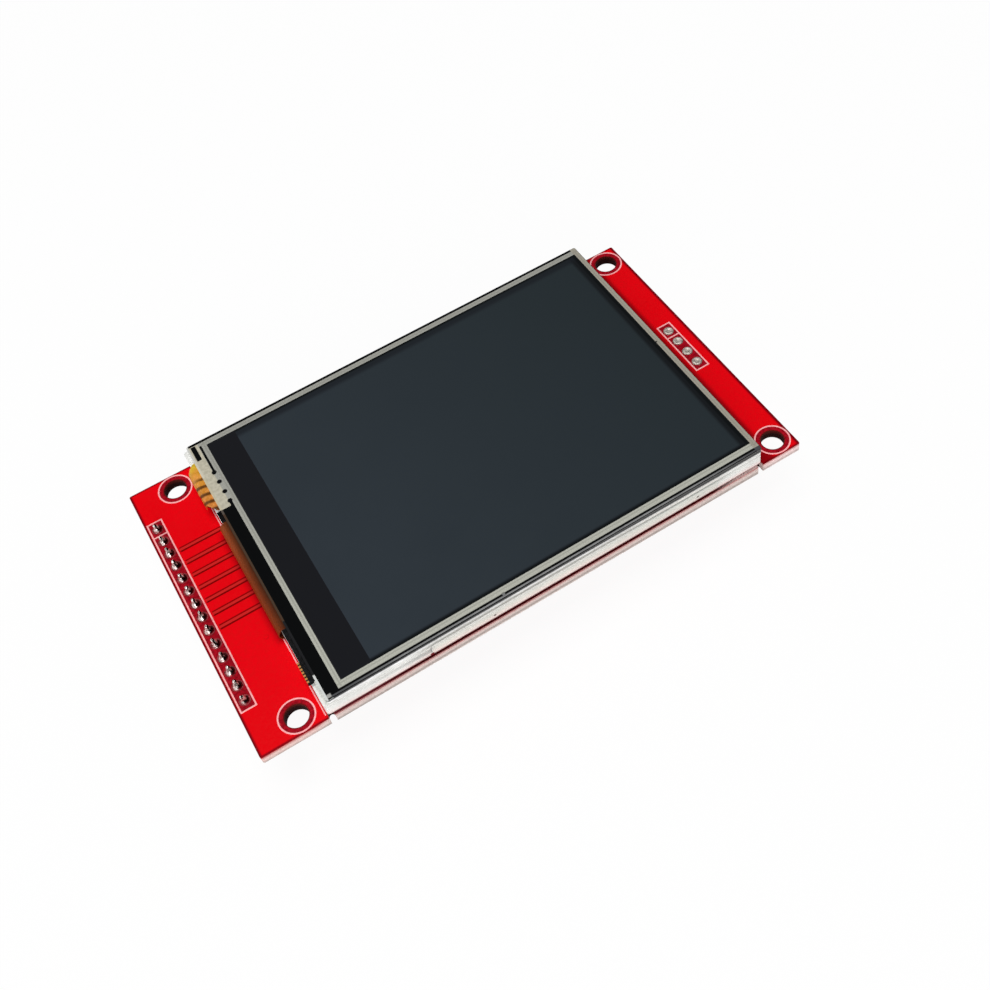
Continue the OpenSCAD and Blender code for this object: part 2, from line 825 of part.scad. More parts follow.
module chip_ends(l, w, h) {
    for (x = [-l / 2, l / 2 - end_l]) translate([x, -w / 2, 0]) cube([end_l, w, h]);
}

module resistor_bodies() {
    color([0.1, 0.1, 0.1]) on_back() for (p = resistors_at)
        translate(p) chip_body(resistor_l, resistor_w, resistor_h);
}

module resistor_ends() {
    color("silver") on_back() for (p = resistors_at)
        translate(p) chip_ends(resistor_l, resistor_w, resistor_h);
}

module capacitor_bodies() {
    color([0.62, 0.5, 0.38]) on_back() for (p = capacitors_at)
        translate(p) chip_body(cap_l, cap_w, cap_h);
}

module capacitor_ends() {
    color("silver") on_back() for (p = capacitors_at)
        translate(p) chip_ends(cap_l, cap_w, cap_h);
}

// ---------------------------------------------------------------- drawing

circuit_board();
silkscreen();
header_hole_plating();
card_hole_plating();
solder_joints();
card_hole_solder();
header_strip();
for (i = [1:main_pins]) header_pin(i);
foam_tape_near();
foam_tape_far();
backlight_frame();
reflector_sheet();
light_guide();
diffuser_sheet();
prism_sheet_lower();
prism_sheet_upper();
rim_tape();
led_flex();
backlight_leds();
rear_polarizer();
array_glass();
colour_glass();
front_polarizer();
driver_chip();
lcd_flex();
touch_adhesive();
touch_glass();
touch_spacer();
touch_film();
touch_border_print();
touch_silver_print();
touch_flex();
side_tape();
card_socket_base();
card_socket_shell();
card_socket_springs();
touch_controller();
touch_controller_leads();
voltage_regulator();
backlight_transistor();
resistor_bodies();
resistor_ends();
capacitor_bodies();
capacitor_ends();
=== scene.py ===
# %% [markdown]
# # A small touch display on a red circuit board
# The model arrives as solid pieces: board, header, display panel, flexes, card socket.
# This lesson gives each of them the surface it has in life, and models the few shapes
# that solids describe poorly, such as solder that has run and set.
# Everything is in metres, in the frame of the solids, so nothing has to be fitted.

# %% Open the packed solids
import json
import math
import random

import bpy
from mathutils import Matrix, Vector

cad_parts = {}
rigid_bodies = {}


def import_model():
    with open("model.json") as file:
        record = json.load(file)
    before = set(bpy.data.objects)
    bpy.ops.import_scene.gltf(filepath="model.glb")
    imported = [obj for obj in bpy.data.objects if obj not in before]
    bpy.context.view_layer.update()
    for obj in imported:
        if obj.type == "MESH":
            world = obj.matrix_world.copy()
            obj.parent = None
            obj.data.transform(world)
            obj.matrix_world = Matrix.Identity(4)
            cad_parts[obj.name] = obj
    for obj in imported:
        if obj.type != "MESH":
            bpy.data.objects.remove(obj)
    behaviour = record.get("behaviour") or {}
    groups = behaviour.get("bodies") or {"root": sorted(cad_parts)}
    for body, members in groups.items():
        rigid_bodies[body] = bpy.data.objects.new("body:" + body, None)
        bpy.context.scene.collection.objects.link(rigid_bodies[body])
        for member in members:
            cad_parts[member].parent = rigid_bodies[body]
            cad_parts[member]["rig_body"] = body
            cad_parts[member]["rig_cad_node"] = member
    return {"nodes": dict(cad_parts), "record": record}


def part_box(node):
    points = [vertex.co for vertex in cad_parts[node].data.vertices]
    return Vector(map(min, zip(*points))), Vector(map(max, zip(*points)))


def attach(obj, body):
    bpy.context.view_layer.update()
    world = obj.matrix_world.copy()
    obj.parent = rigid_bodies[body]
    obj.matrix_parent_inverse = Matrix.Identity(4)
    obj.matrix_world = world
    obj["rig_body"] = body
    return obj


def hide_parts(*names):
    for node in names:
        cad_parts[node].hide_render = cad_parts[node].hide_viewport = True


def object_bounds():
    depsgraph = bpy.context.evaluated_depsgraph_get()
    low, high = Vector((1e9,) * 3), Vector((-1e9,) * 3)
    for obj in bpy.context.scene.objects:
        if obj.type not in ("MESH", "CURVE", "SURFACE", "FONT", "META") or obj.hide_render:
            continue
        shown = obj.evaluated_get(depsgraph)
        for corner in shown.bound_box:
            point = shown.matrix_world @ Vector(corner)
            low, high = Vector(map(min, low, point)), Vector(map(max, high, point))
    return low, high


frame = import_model()
solid_low, solid_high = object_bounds()
nodes = frame["nodes"]
MM = 0.001
print("solids:", len(nodes), "box in mm:", [round(v / MM, 2) for v in solid_high - solid_low])

# %% [markdown]
# ## Camera
# A product picture of a flat board is taken from above one long edge with a mild lens.
# The camera is placed by three directions, right, up and back, because those say at once
# how the board is turned in the picture. The small shift puts the board off centre.

# %% Place the camera
CAMERA_AT = Vector((-33.08, -109.54, 150.45)) * MM
CAMERA_RIGHT = Vector((0.8493, -0.51634, -0.10986))
CAMERA_DOWN = Vector((-0.4765, -0.66025, -0.58053))
camera_data = bpy.data.cameras.new("camera")
camera_data.sensor_width = 36
camera_data.lens = 46.38
camera_data.shift_x = -0.0564
camera_data.shift_y = -0.0189
camera_data.clip_start = 0.01
camera_data.clip_end = 20
camera = bpy.data.objects.new("camera", camera_data)
bpy.context.scene.collection.objects.link(camera)
right = CAMERA_RIGHT.normalized()
back = right.cross(-CAMERA_DOWN).normalized()
up = back.cross(right)
camera.matrix_world = Matrix.Translation(CAMERA_AT) @ Matrix((right, up, back)).transposed().to_4x4()
bpy.context.scene.camera = camera
print("camera", round((CAMERA_AT - (solid_low + solid_high) / 2).length, 3), "m away")

# %% [markdown]
# ## Helpers for finishes
# A real surface is never one flat colour: ink is thinner in places, plastic has a faint
# grain, metal is brushed. Each finish here is a small tree of nodes on Object coordinates,
# turned into millimetres, so that a value in the tree is a size that can be measured.
# Its class grows in three steps: plain nodes, then masks, then colours.

# %% Nodes
def add_node(tree, kind, inputs=(), **settings):
    """A new node. Its inputs, by number or by name, are sockets to link or plain values."""
    node = tree.nodes.new(kind)
    for key, value in settings.items():
        setattr(node, key, value)
    pairs = inputs.items() if isinstance(inputs, dict) else enumerate(inputs)
    for key, value in pairs:
        if isinstance(value, bpy.types.NodeSocket):
            tree.links.new(value, node.inputs[key])
        else:
            node.inputs[key].default_value = value
    return node


class Nodes:
    """A material's own tree, with the place on the piece in millimetres."""

    def __init__(self, name):
        self.material = bpy.data.materials.new(name)
        self.material.use_nodes = True
        self.tree = self.material.node_tree
        self.tree.nodes.clear()
        place = self.add("ShaderNodeTexCoord").outputs["Object"]
        self.place = self.add("ShaderNodeVectorMath", (place, (1 / MM,) * 3), operation="MULTIPLY").outputs[0]
        self.x, self.y, self.z = self.add("ShaderNodeSeparateXYZ", (self.place,)).outputs

    def add(self, kind, inputs=(), **settings):
        return add_node(self.tree, kind, inputs, **settings)

    def calc(self, operation, a, b=0.0, c=0.0):
        return self.add("ShaderNodeMath", (a, b, c), operation=operation).outputs[0]

    def distance(self, across, along, point):
        """How far a point of a plane is, with the plane's two coordinates given."""
        here = self.add("ShaderNodeCombineXYZ", (across, along)).outputs[0]
        return self.add("ShaderNodeVectorMath", (here, (*point, 0)), operation="DISTANCE").outputs["Value"]

    def noise(self, size, detail=2.0, stretch=(1, 1, 1), low=0.35, high=0.65):
        """Noise from 0 to 1 whose spots are about this many millimetres across."""
        place = self.add("ShaderNodeVectorMath", (self.place, stretch), operation="MULTIPLY").outputs[0]
        spots = self.add("ShaderNodeTexNoise", {"Vector": place, "Scale": 1 / size, "Detail": detail})
        ends = {"Value": spots.outputs[0], "From Min": low, "From Max": high}
        return self.add("ShaderNodeMapRange", ends).outputs[0]


print("one metre is", 1 / MM, "of the units in a tree")

# %% [markdown]
# ### Masks
# A mask is a value that is 1 where a colour belongs and 0 elsewhere. The painters of
# models cut theirs from tape. Here each one comes from a coordinate and an edge, with a
# soft passage that keeps the border from looking cut with a knife.

# %% Masks
class Masks(Nodes):
    """Values that are 1 in one place and 0 in another."""

    def step(self, value, edge, soft=0.02):
        """0 below the edge, 1 above it, with a soft passage."""
        ends = {"Value": value, "From Min": edge - soft, "From Max": edge + soft}
        return self.add("ShaderNodeMapRange", ends, interpolation_type="SMOOTHSTEP").outputs[0]

    def inverse(self, mask):
        return self.calc("SUBTRACT", 1.0, mask)

    def before(self, value, edge, soft=0.02):
        """1 below the edge, 0 above it."""
        return self.inverse(self.step(value, edge, soft))

    def band(self, value, low, high, soft=0.02):
        """1 between two values and 0 outside them."""
        return self.calc("SUBTRACT", self.step(value, low, soft), self.step(value, high, soft))

    def both(self, first, *others):
        """1 where every one of the masks is 1."""
        for other in others:
            first = self.calc("MULTIPLY", first, other)
        return first

    def either(self, first, *others):
        """1 where any of the masks is 1."""
        for other in others:
            first = self.calc("MAXIMUM", first, other)
        return first

    def patch(self, low_x, high_x, low_y, high_y, soft=0.02):
        """1 inside a rectangle, seen from above."""
        return self.both(self.band(self.x, low_x, high_x, soft), self.band(self.y, low_y, high_y, soft))


print("masks:", [word for word in vars(Masks) if not word.startswith("_")])

# %% [markdown]
# ### Colours
# Colours are written as a painter reads them off a chart, from 0 to 255, and turned into
# the linear ones that a shader takes. A finish starts from a tone, and each colour is laid
# over it through a mask.

# %% Colours and gloss
def srgb(red, green, blue):
    """A colour as 0 to 255 becomes the linear colour that a shader takes."""
    def linear(v):
        v /= 255
        return v / 12.92 if v <= 0.04045 else ((v + 0.055) / 1.055) ** 2.4
    return (linear(red), linear(green), linear(blue), 1.0)


class Finish(Masks):
    """One material with its shader, colours, gloss and relief."""

    def __init__(self, name, roughness, metallic=0.0, specular=0.5):
        super().__init__(name)
        self.shader = self.add("ShaderNodeBsdfPrincipled")
        self.add("ShaderNodeOutputMaterial", (self.shader.outputs[0],))
        self.shader.inputs["Roughness"].default_value = roughness
        self.shader.inputs["Metallic"].default_value = metallic
        self.shader.inputs["Specular IOR Level"].default_value = specular

    def mix(self, factor, first, second):
        """From the first colour to the second, each a socket or a linear colour."""
        # the node keeps its colours at inputs 6 and 7, behind those for numbers and vectors
        return self.add("ShaderNodeMix", {0: factor, 6: first, 7: second}, data_type="RGBA").outputs[2]

    def shades(self, factor, first, second):
        """From one colour to another, both as 0 to 255."""
        return self.mix(factor, srgb(*first), srgb(*second))

    def paint(self, tone, mask, colour, share=1.0):
        """Lays a colour, as 0 to 255, over the tone where the mask is 1."""
        if share < 1:
            mask = self.calc("MULTIPLY", mask, share)
        return self.mix(mask, tone, srgb(*colour))

    def set(self, socket, value):
        self.tree.links.new(value, self.shader.inputs[socket])

    def rough(self, value, low, high):
        node = self.add("ShaderNodeMapRange", {"Value": value, "To Min": low, "To Max": high})
        self.set("Roughness", node.outputs[0])

    def relief(self, height, depth, below=None):
        """Bump of so many millimetres, on top of another one if it is given."""
        inputs = {"Height": height, "Distance": depth * MM, "Strength": 1.0}
        if below is not None:
            inputs["Normal"] = below
        bump = self.add("ShaderNodeBump", inputs).outputs[0]
        self.set("Normal", bump)
        return bump


def coat_node(name, finish):
    """Gives a solid its finish."""
    mesh = nodes[name].data
    mesh.materials.clear()
    mesh.materials.append(finish.material)


print("middle grey, 128, is", round(srgb(128, 128, 128)[0], 3), "as a linear colour")

# %% [markdown]
# ## Where things are
# The pattern on the board has to meet the solids, so every place is asked from them.
# Only what is printed or etched has no solid, and gets its place as a number.

# %% Measure the solids
PINS, CARD_HOLES, PITCH = 14, 4, 2.54


def ends_mm(name):
    """Lowest and highest corner of a solid's box, in mm."""
    low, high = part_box(name)
    return low / MM, high / MM


def centre_mm(name):
    low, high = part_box(name)
    return (low + high) / 2 / MM


board_low, board_high = ends_mm("circuit_board")
panel_low, panel_high = ends_mm("backlight_frame")
touch_low, touch_high = ends_mm("touch_film")
bond_low, bond_high = ends_mm("lcd_flex")
card_low, card_high = ends_mm("card_hole_plating")
card_mid = (card_low + card_high) / 2
board_top = ends_mm("foam_tape_near")[0].z
pins = [centre_mm(f"header_pin_{i + 1}") for i in range(PINS)]
bolts = next(m for m in frame["record"]["mounts"] if m["name"] == "fixing_holes")["dims"]
fixing_x, fixing_y, fixing_r = bolts["spacing_x_mm"] / 2, bolts["spacing_y_mm"] / 2, bolts["hole_r_mm"]
print("pins", len(pins), "first", [round(v, 2) for v in pins[0]], "board", board_low[:], board_high[:])

# %% [markdown]
# ## Red board
# A circuit board is woven glass in resin under a glossy red varnish. The solid is a
# single piece, so one tree has to tell its surfaces apart: by the direction of the face
# for varnish and cut edge, and by place for everything else. It is built up in layers,
# as a painter would, each laid over the tone below where its mask is 1.

# %% Varnish
board = Finish("red_board", roughness=0.3, specular=0.05)
normal = board.add("ShaderNodeNewGeometry").outputs["Normal"]
upright = board.calc("ABSOLUTE", board.add("ShaderNodeSeparateXYZ", (normal,)).outputs["Z"])
flat_face = board.step(upright, 0.5, 0.1)
on_front = board.step(board.z, board_top - 0.2)
varnish = board.shades(board.noise(9, 2), (222, 0, 12), (230, 0, 16))
varnish = board.paint(varnish, board.noise(0.5, 3), (222, 6, 16))
print("varnish:", len(board.tree.nodes), "nodes")

# %% [markdown]
# ### Tracks
# Seven copper tracks run under the varnish from the header to the panel. Each of them
# shows as a dull middle between two shoulders of painted shade, where the varnish rolls over
# its edges. They lie at one pitch, so the fraction of y over the pitch folds the seven rows into one.

# %% Tracks
TRACKS, TRACK_PITCH, TRACK_FIRST_Y = 7, 2.56, 11.47
TRACK_HALF, SHOULDER_END = 0.2, 0.46
row = board.calc("DIVIDE", board.calc("SUBTRACT", TRACK_FIRST_Y + TRACK_PITCH / 2, board.y), TRACK_PITCH)
off_row = board.calc("ABSOLUTE", board.calc("SUBTRACT", board.calc("FRACT", row), 0.5))
off_track = board.calc("MULTIPLY", off_row, TRACK_PITCH)
track_zone = board.both(board.band(board.x, pins[0].x + 1.45, panel_low.x + 1, 0.15),
                        board.band(row, 0, TRACKS, 0.001), on_front)
middle = board.both(board.before(off_track, TRACK_HALF, 0.08), track_zone)
# painted shade on the shoulders, where the varnish rolls over each track's edges
shoulder_shade = board.both(board.band(off_track, TRACK_HALF + 0.02, SHOULDER_END, 0.08), track_zone)
varnish = board.paint(varnish, middle, (196, 36, 34))
varnish = board.paint(varnish, shoulder_shade, (122, 0, 0))
print("tracks:", TRACKS, "every", TRACK_PITCH, "mm")

# %% [markdown]
# ### Rim and shade beside the panel
# The varnish is darker along the board's outline. It has painted shade where the panel
# shades the board to its right and round its flex, darkest in a line along the panel's foot.

# %% Rim and shade
SHADE_WIDTH = 2.4
inside_rim = board.patch(board_low.x + 0.32, board_high.x - 0.42,
                         board_low.y + 0.22, board_high.y - 0.22, 0.2)
varnish = board.paint(varnish, board.inverse(inside_rim), (96, 0, 12), 0.9)
beside_right = board.both(board.step(board.x, panel_high.x),
                          board.before(board.x, panel_high.x + SHADE_WIDTH, 0.5))
beside_flex = board.patch(panel_low.x - 1.0, panel_low.x + 0.5, bond_low.y + 9.5, bond_high.y - 2, 0.9)
# painted shade in a narrow line along the panel's foot
panel_foot_shade = board.both(beside_right, board.before(board.x, panel_high.x + 0.3, 0.15))
varnish = board.paint(varnish, panel_foot_shade, (120, 62, 58), 0.5)
shade = board.both(board.either(beside_right, beside_flex), on_front)
varnish = board.paint(varnish, shade, (96, 0, 8), 0.75)
print("shade to", round(panel_high.x + SHADE_WIDTH, 2), "mm")

# %% [markdown]
# ### Gap below the panel
# The panel stands on tape, so the board goes on in the gap below it. There the varnish has
# painted shade, with painted light at the far end, where it turns pale, and a painted
# highlight in a pale line along the very edge.

# %% Gap
LIT_EDGE_WIDTH = 0.07
shaded_gap = board.both(board.patch(panel_low.x + 0.1, panel_high.x - 0.05,
                                     panel_low.y - 1, panel_high.y + 1, 0.05), on_front)
# painted shade in the gap, with painted light where it turns pale at the far end
gap_shade_and_light = board.shades(board.step(board.x, -25, 5), (126, 40, 50), (84, 1, 7))
gap_shade_and_light = board.paint(gap_shade_and_light, board.step(board.x, 28.5, 2.5), (240, 214, 210))
varnish = board.mix(shaded_gap, varnish, gap_shade_and_light)
# painted highlight along the board's very edge in the gap
lit_edge = board.both(shaded_gap, board.before(board.y, board_low.y + LIT_EDGE_WIDTH, 0.04))
varnish = board.paint(varnish, lit_edge, (206, 160, 158))
print("gap:", round(panel_low.z - board_top, 2), "mm high")

# %% [markdown]
# ### Darker varnish in boxes and rings
# Inside the legend boxes the varnish is darker, painted shade and painted reflection round
# the solder. Round the screw holes it is darker too, with painted shade at their lips. The
# four holes lie evenly about the middle, so the absolute values of x and y fold them into one.

# %% Legend boxes, rings and the lips of the holes
BOX_HALF_WIDTH, RING_R = 1.1, 2.5


def legend_box(x, y, holes, spare):
    """Inside of the box round a header, a little longer than its holes at their pitch."""
    half = holes * PITCH / 2 + spare
    return board.patch(x - BOX_HALF_WIDTH, x + BOX_HALF_WIDTH, y - half, y + half)


long_box = legend_box(pins[0].x, (pins[0].y + pins[-1].y) / 2, PINS, 0.31)
short_box = legend_box(card_mid.x, card_mid.y, CARD_HOLES, 0.22)
fold_x, fold_y = board.calc("ABSOLUTE", board.x), board.calc("ABSOLUTE", board.y)
from_hole = board.distance(fold_x, fold_y, (fixing_x, fixing_y))
# painted shade and reflection in the legend boxes; the rings round the holes are just darker
box_shade_and_rings = board.either(long_box, short_box, board.before(from_hole, RING_R, 0.05))
box_shade_and_ring_tone = board.shades(board.noise(0.35, 3), (132, 4, 20), (172, 14, 32))
varnish = board.mix(box_shade_and_rings, varnish, box_shade_and_ring_tone)
# painted shade at the lips of the screw holes
hole_lip_shade = board.band(from_hole, fixing_r - 0.2, fixing_r + 0.14, 0.05)
varnish = board.paint(varnish, hole_lip_shade, (84, 20, 14), 0.7)
print("rings:", RING_R, "mm round holes of", fixing_r, "mm, all radii")

# %% [markdown]
# ### Cut edge
# The outline is routed, and the cut shows pale layers of glass. A grey line lies near
# the back face. It climbs from the near end to the middle, and drops again.

# %% Laminate
layers = board.noise(0.16, 2, (0.25, 0.25, 1.6))
at_ends = board.inverse(board.band(board.x, panel_low.x - 1, panel_high.x + 0.8, 1.5))
far_end = board.both(at_ends, board.step(board.x, 0))
near_end = board.calc("SUBTRACT", at_ends, far_end)
laminate = board.shades(at_ends, (206, 187, 181), (228, 192, 185))
laminate = board.paint(laminate, far_end, (238, 208, 206))
grey_rise = board.calc("MULTIPLY_ADD", board.step(board.x, -25, 12), 0.38, 0.12)
grey_z = board.calc("SUBTRACT", grey_rise, board.calc("MULTIPLY", board.step(board.x, 12, 16), 0.2))
above_grey = board.calc("SUBTRACT", board.z, grey_z)
grey_line = board.before(board.calc("ABSOLUTE", above_grey), 0.26, 0.24)
grey_share = board.calc("MULTIPLY_ADD", at_ends, -0.35, 0.95)
laminate = board.paint(laminate, board.both(grey_line, grey_share), (150, 139, 134))
# painted light: the strip below the grey line is lighter, as a lit lower edge
laminate = board.paint(laminate, board.before(above_grey, -0.34, 0.1), (224, 214, 210))
laminate = board.paint(laminate, layers, (246, 238, 232), 0.22)
specks = board.noise(0.3, 3, (0.8, 1, 1.3), low=0.5, high=0.62)
laminate = board.paint(laminate, specks, (150, 132, 128), 0.22)
print("laminate:", round(board_top - board_low.z, 2), "mm thick")

# %% [markdown]
# ### Varnish over the edge
# Some varnish has run down from the top, further at the end of the long header and most
# thickly at the very rim. Drilled walls are dark, because little light reaches them, so
# everything inside the outline takes their tone.

# %% Varnish runs and drilled walls
run_z = board.calc("MULTIPLY_ADD", near_end, 0.2, board.calc("SUBTRACT", board.z, board_top - 0.3))
run_share = board.calc("MULTIPLY_ADD", at_ends, 0.42, 0.38)
laminate = board.paint(laminate, board.both(board.step(run_z, 0, 0.35), run_share), (176, 60, 58))
rim_height = board.calc("MULTIPLY_ADD", near_end, 0.14, board.z)
laminate = board.paint(laminate, board.step(rim_height, board_top - 0.08, 0.05), (150, 14, 24))
drilled = board.patch(board_low.x + 0.6, board_high.x - 0.6, board_low.y + 0.9, board_high.y - 0.9)
wall = board.shades(board.step(board.z, board_top - 0.5, 0.3), (26, 4, 4), (78, 24, 18))
laminate = board.mix(drilled, laminate, board.paint(wall, layers, (60, 16, 14), 0.4))
board.set("Base Color", board.mix(flat_face, laminate, varnish))
board.rough(flat_face, 0.75, 0.3)
board.relief(board.noise(0.3, 3), 0.004)
coat_node("circuit_board", board)
print("board finish:", len(board.tree.nodes), "nodes")

# %% [markdown]
# ## Legend ink
# White epoxy ink is printed over the varnish. It is a hair thin, so the red tints it
# and its edges are a little ragged.

# %% Ink
ink = Finish("legend_ink", roughness=0.55, specular=0.3)
tint = ink.noise(0.25, 3, low=0.45, high=0.75)
blush = ink.shades(tint, (252, 178, 180), (248, 142, 146))
near_blush = ink.shades(tint, (250, 176, 176), (240, 132, 136))
ink.set("Base Color", ink.mix(ink.before(ink.x, pins[0].x + 2), blush, near_blush))
ink.relief(ink.noise(0.12, 2), 0.01)
coat_node("silkscreen", ink)
print("ink finish:", len(ink.tree.nodes), "nodes")

# %% [markdown]
# ## Plain finishes
# Many small pieces differ only in two close colours, their gloss and their grain, so a
# table gives those and one loop builds the trees. Grain is the size of the spots in
# millimetres, and relief the depth of the bump.

# %% Table of plain finishes
PLAIN = {
    # name: (dark colour, light colour, roughness from, to, metallic, grain, relief, solids)
    "tinned_land": ((188, 184, 178), (214, 211, 205), 0.22, 0.4, 1.0, 0.4, 0.006,
                    ["card_hole_plating"]),
    # header lands: painted shade and painted red reflection of the board round the joints
    "fluxed_land": ((84, 4, 14), (164, 60, 66), 0.35, 0.55, 0.5, 0.25, 0.012, ["header_hole_plating"]),
    "black_insulator": ((17, 17, 18), (28, 28, 29), 0.45, 0.6, 0.0, 0.15, 0.006,
                        ["header_strip", "card_socket_base"]),
    "pin_metal": ((196, 160, 84), (226, 196, 120), 0.2, 0.32, 1.0, 0.3, 0.003, ["card_socket_springs"]),
    "foam": ((24, 24, 26), (52, 52, 55), 0.9, 1.0, 0.0, 0.12, 0.04, ["foam_tape_near", "foam_tape_far"]),
    "white_film": ((232, 232, 232), (244, 244, 244), 0.25, 0.35, 0.0, 2.0, 0.001, ["reflector_sheet"]),
    "optic_sheet": ((206, 214, 218), (224, 230, 232), 0.2, 0.35, 0.0, 1.0, 0.002,
                    ["light_guide", "diffuser_sheet", "prism_sheet_lower", "prism_sheet_upper"]),
    "black_tape": ((10, 10, 11), (20, 20, 22), 0.5, 0.7, 0.0, 0.3, 0.004, ["rim_tape", "touch_adhesive"]),
    "diode_body": ((226, 214, 140), (240, 232, 190), 0.4, 0.5, 0.0, 0.3, 0.003, ["backlight_leds"]),
    "polarizer": ((30, 34, 38), (40, 45, 50), 0.2, 0.3, 0.0, 2.0, 0.001,
                  ["rear_polarizer", "front_polarizer"]),
    "panel_glass": ((36, 41, 45), (46, 52, 57), 0.08, 0.15, 0.0, 3.0, 0.0, ["array_glass", "colour_glass"]),
    "silicon": ((40, 41, 46), (58, 60, 66), 0.15, 0.25, 0.0, 0.6, 0.001, ["driver_chip"]),
    "moulded_package": ((22, 22, 23), (36, 36, 38), 0.5, 0.7, 0.0, 0.09, 0.01,
                        ["touch_controller", "voltage_regulator", "backlight_transistor"]),
    "tinned_lead": ((178, 176, 172), (206, 204, 200), 0.25, 0.42, 1.0, 0.25, 0.005,
                    ["touch_controller_leads", "resistor_ends", "capacitor_ends"]),
    "resistor_glaze": ((18, 18, 19), (30, 30, 31), 0.2, 0.3, 0.0, 0.4, 0.003, ["resistor_bodies"]),
    "capacitor_ceramic": ((150, 118, 88), (176, 144, 112), 0.45, 0.6, 0.0, 0.12, 0.006, ["capacitor_bodies"]),
}


def plain_finish(name, dark, light, rough_from, rough_to, metallic, grain, depth):
    finish = Finish(name, rough_from, metallic, specular=0.4)
    spots = finish.noise(grain, 3)
    broad = finish.noise(grain * 7, 2)
    both = finish.calc("MULTIPLY_ADD", spots, 0.6, finish.calc("MULTIPLY", broad, 0.4))
    finish.set("Base Color", finish.shades(both, dark, light))
    finish.rough(broad, rough_from, rough_to)
    if depth:
        finish.relief(spots, depth)
    return finish


for name, (*recipe, coated) in PLAIN.items():
    finish = plain_finish(name, *recipe)
    for node in coated:
        coat_node(node, finish)
print("plain finishes:", len(PLAIN))

# %% [markdown]
# ## Header pins
# The pins are bright brass, gold flashed. What stands above the board has been through
# the solder and is silver grey.

# %% Pins
pin_skin = Finish("header_pin", roughness=0.25, metallic=1.0)
gold = pin_skin.shades(pin_skin.noise(0.9, 2), (204, 170, 94), (218, 188, 112))
tinned = pin_skin.shades(pin_skin.noise(0.3, 3), (170, 164, 160), (214, 206, 200))
pin_skin.set("Base Color", pin_skin.mix(pin_skin.step(pin_skin.z, board_top - 0.2), gold, tinned))
pin_skin.rough(pin_skin.noise(1.2, 2), 0.2, 0.34)
for i in range(PINS):
    coat_node(f"header_pin_{i + 1}", pin_skin)
print("pins coated:", PINS)

# %% [markdown]
# ## Touch panel
# The panel is a film over glass. Its face is one glossy skin, but two prints show through
# it, the dark border and the silver paste of the electrodes. In the middle there is no
# print, so the dark display shows as slate, with painted shade towards the border.

# %% Window film
window = Finish("window_film", roughness=0.12, specular=0.22)
along_panel = window.calc("MULTIPLY_ADD", window.x, 0.012, window.calc("MULTIPLY_ADD", window.y, 0.003, 0.5))
slate = window.shades(along_panel, (47, 54, 61), (34, 42, 45))
slate = window.paint(slate, window.noise(14, 2), (38, 45, 51), 0.25)
# painted shade along the right side, beside the border
slate = window.paint(slate, window.step(window.x, touch_high.x - 2.15, 0.35), (20, 23, 26))
end_shade = window.either(window.step(window.y, touch_high.y - 2.75, 0.5),
                          window.before(window.y, touch_low.y + 2.32, 0.2))
slate = window.paint(slate, end_shade, (23, 26, 31), 0.75)
in_view = window.both(window.before(window.x, touch_high.x - 1.45, 0.08),
                      window.band(window.y, touch_low.y + 2.15, touch_high.y - 1.75, 0.08))
# painted shade, darkest next to the ring
slate = window.paint(slate, window.inverse(in_view), (8, 10, 12), 0.6)
cut_side = window.both(window.before(window.y, touch_low.y + 0.03, 0.02), window.step(window.x, 6, 8))
slate = window.paint(slate, cut_side, (104, 104, 102), 0.8)
print("slate:", len(window.tree.nodes), "nodes")

# %% [markdown]
# The film is clear along its edge on the flex side, and shows what lies below it. From
# near to far that is the white frame, the dark ear and the brown bend of the display
# flex, and then paler parts below the touch flex.

# %% Clear edge
CLEAR_EDGE = 1.0
BEND_NEAR, BEND_FAR = -10.9, 10.2
edge_strip = srgb(206, 209, 206)
for start, colour in ((bond_low.y, (30, 30, 32)), (BEND_NEAR, (70, 54, 42)), (BEND_FAR, (84, 76, 70)),
                      (11.1, (190, 182, 156)), (18.0, (200, 196, 178)), (21.4, (196, 196, 190))):
    edge_strip = window.paint(edge_strip, window.step(window.y, start, 0.12), colour)
on_edge = window.before(window.x, touch_low.x + CLEAR_EDGE, 0.01)
window.set("Base Color", window.mix(on_edge, slate, edge_strip))
window.rough(window.noise(3, 3), 0.1, 0.16)
coat_node("touch_film", window)
print("clear edge:", CLEAR_EDGE, "mm wide, flex from", BEND_NEAR, "to", BEND_FAR)

# %% [markdown]
# ### Border print
# The border is darker outside the silver ring than inside it, because outside it lies
# over black tape. On the flex side it is a wide band, and a little paler. Silver shows
# in it twice: as a stub at the near corner, and where paste has crept from the near bar.

# %% Border
BAND_WIDTH = 7.4
RING_X0, RING_X1 = touch_low.x + 2.1, touch_high.x - 0.05
RING_Y0, RING_Y1 = touch_low.y + 0.9, touch_high.y - 0.45
border = Finish("border_print", roughness=0.12, specular=0.25)
dark = border.shades(border.before(border.x, touch_low.x + BAND_WIDTH), (8, 12, 14), (22, 23, 27))
dark = border.mix(border.patch(RING_X0, RING_X1, RING_Y0, RING_Y1, 0.05), srgb(3, 4, 5), dark)
stub = border.patch(touch_low.x, touch_low.x + 0.9, touch_low.y + 0.25, touch_low.y + 0.8, 0.1)
dark = border.paint(dark, stub, (158, 158, 154))
creep = border.patch(RING_X0, RING_X1, RING_Y0 - 0.15, RING_Y0 + 0.1, 0.05)
border.set("Base Color", border.paint(dark, creep, (172, 173, 163)))
coat_node("touch_border_print", border)
print("ring:", round(RING_X1 - RING_X0, 2), "x", round(RING_Y1 - RING_Y0, 2), "mm")

# %% [markdown]
# ### Silver print
# Silver paste is screen printed, so it has the grain of the screen and a faint seam
# along the middle of each line. The tail that meets the flex is yellower, where the
# conducting glue shows.

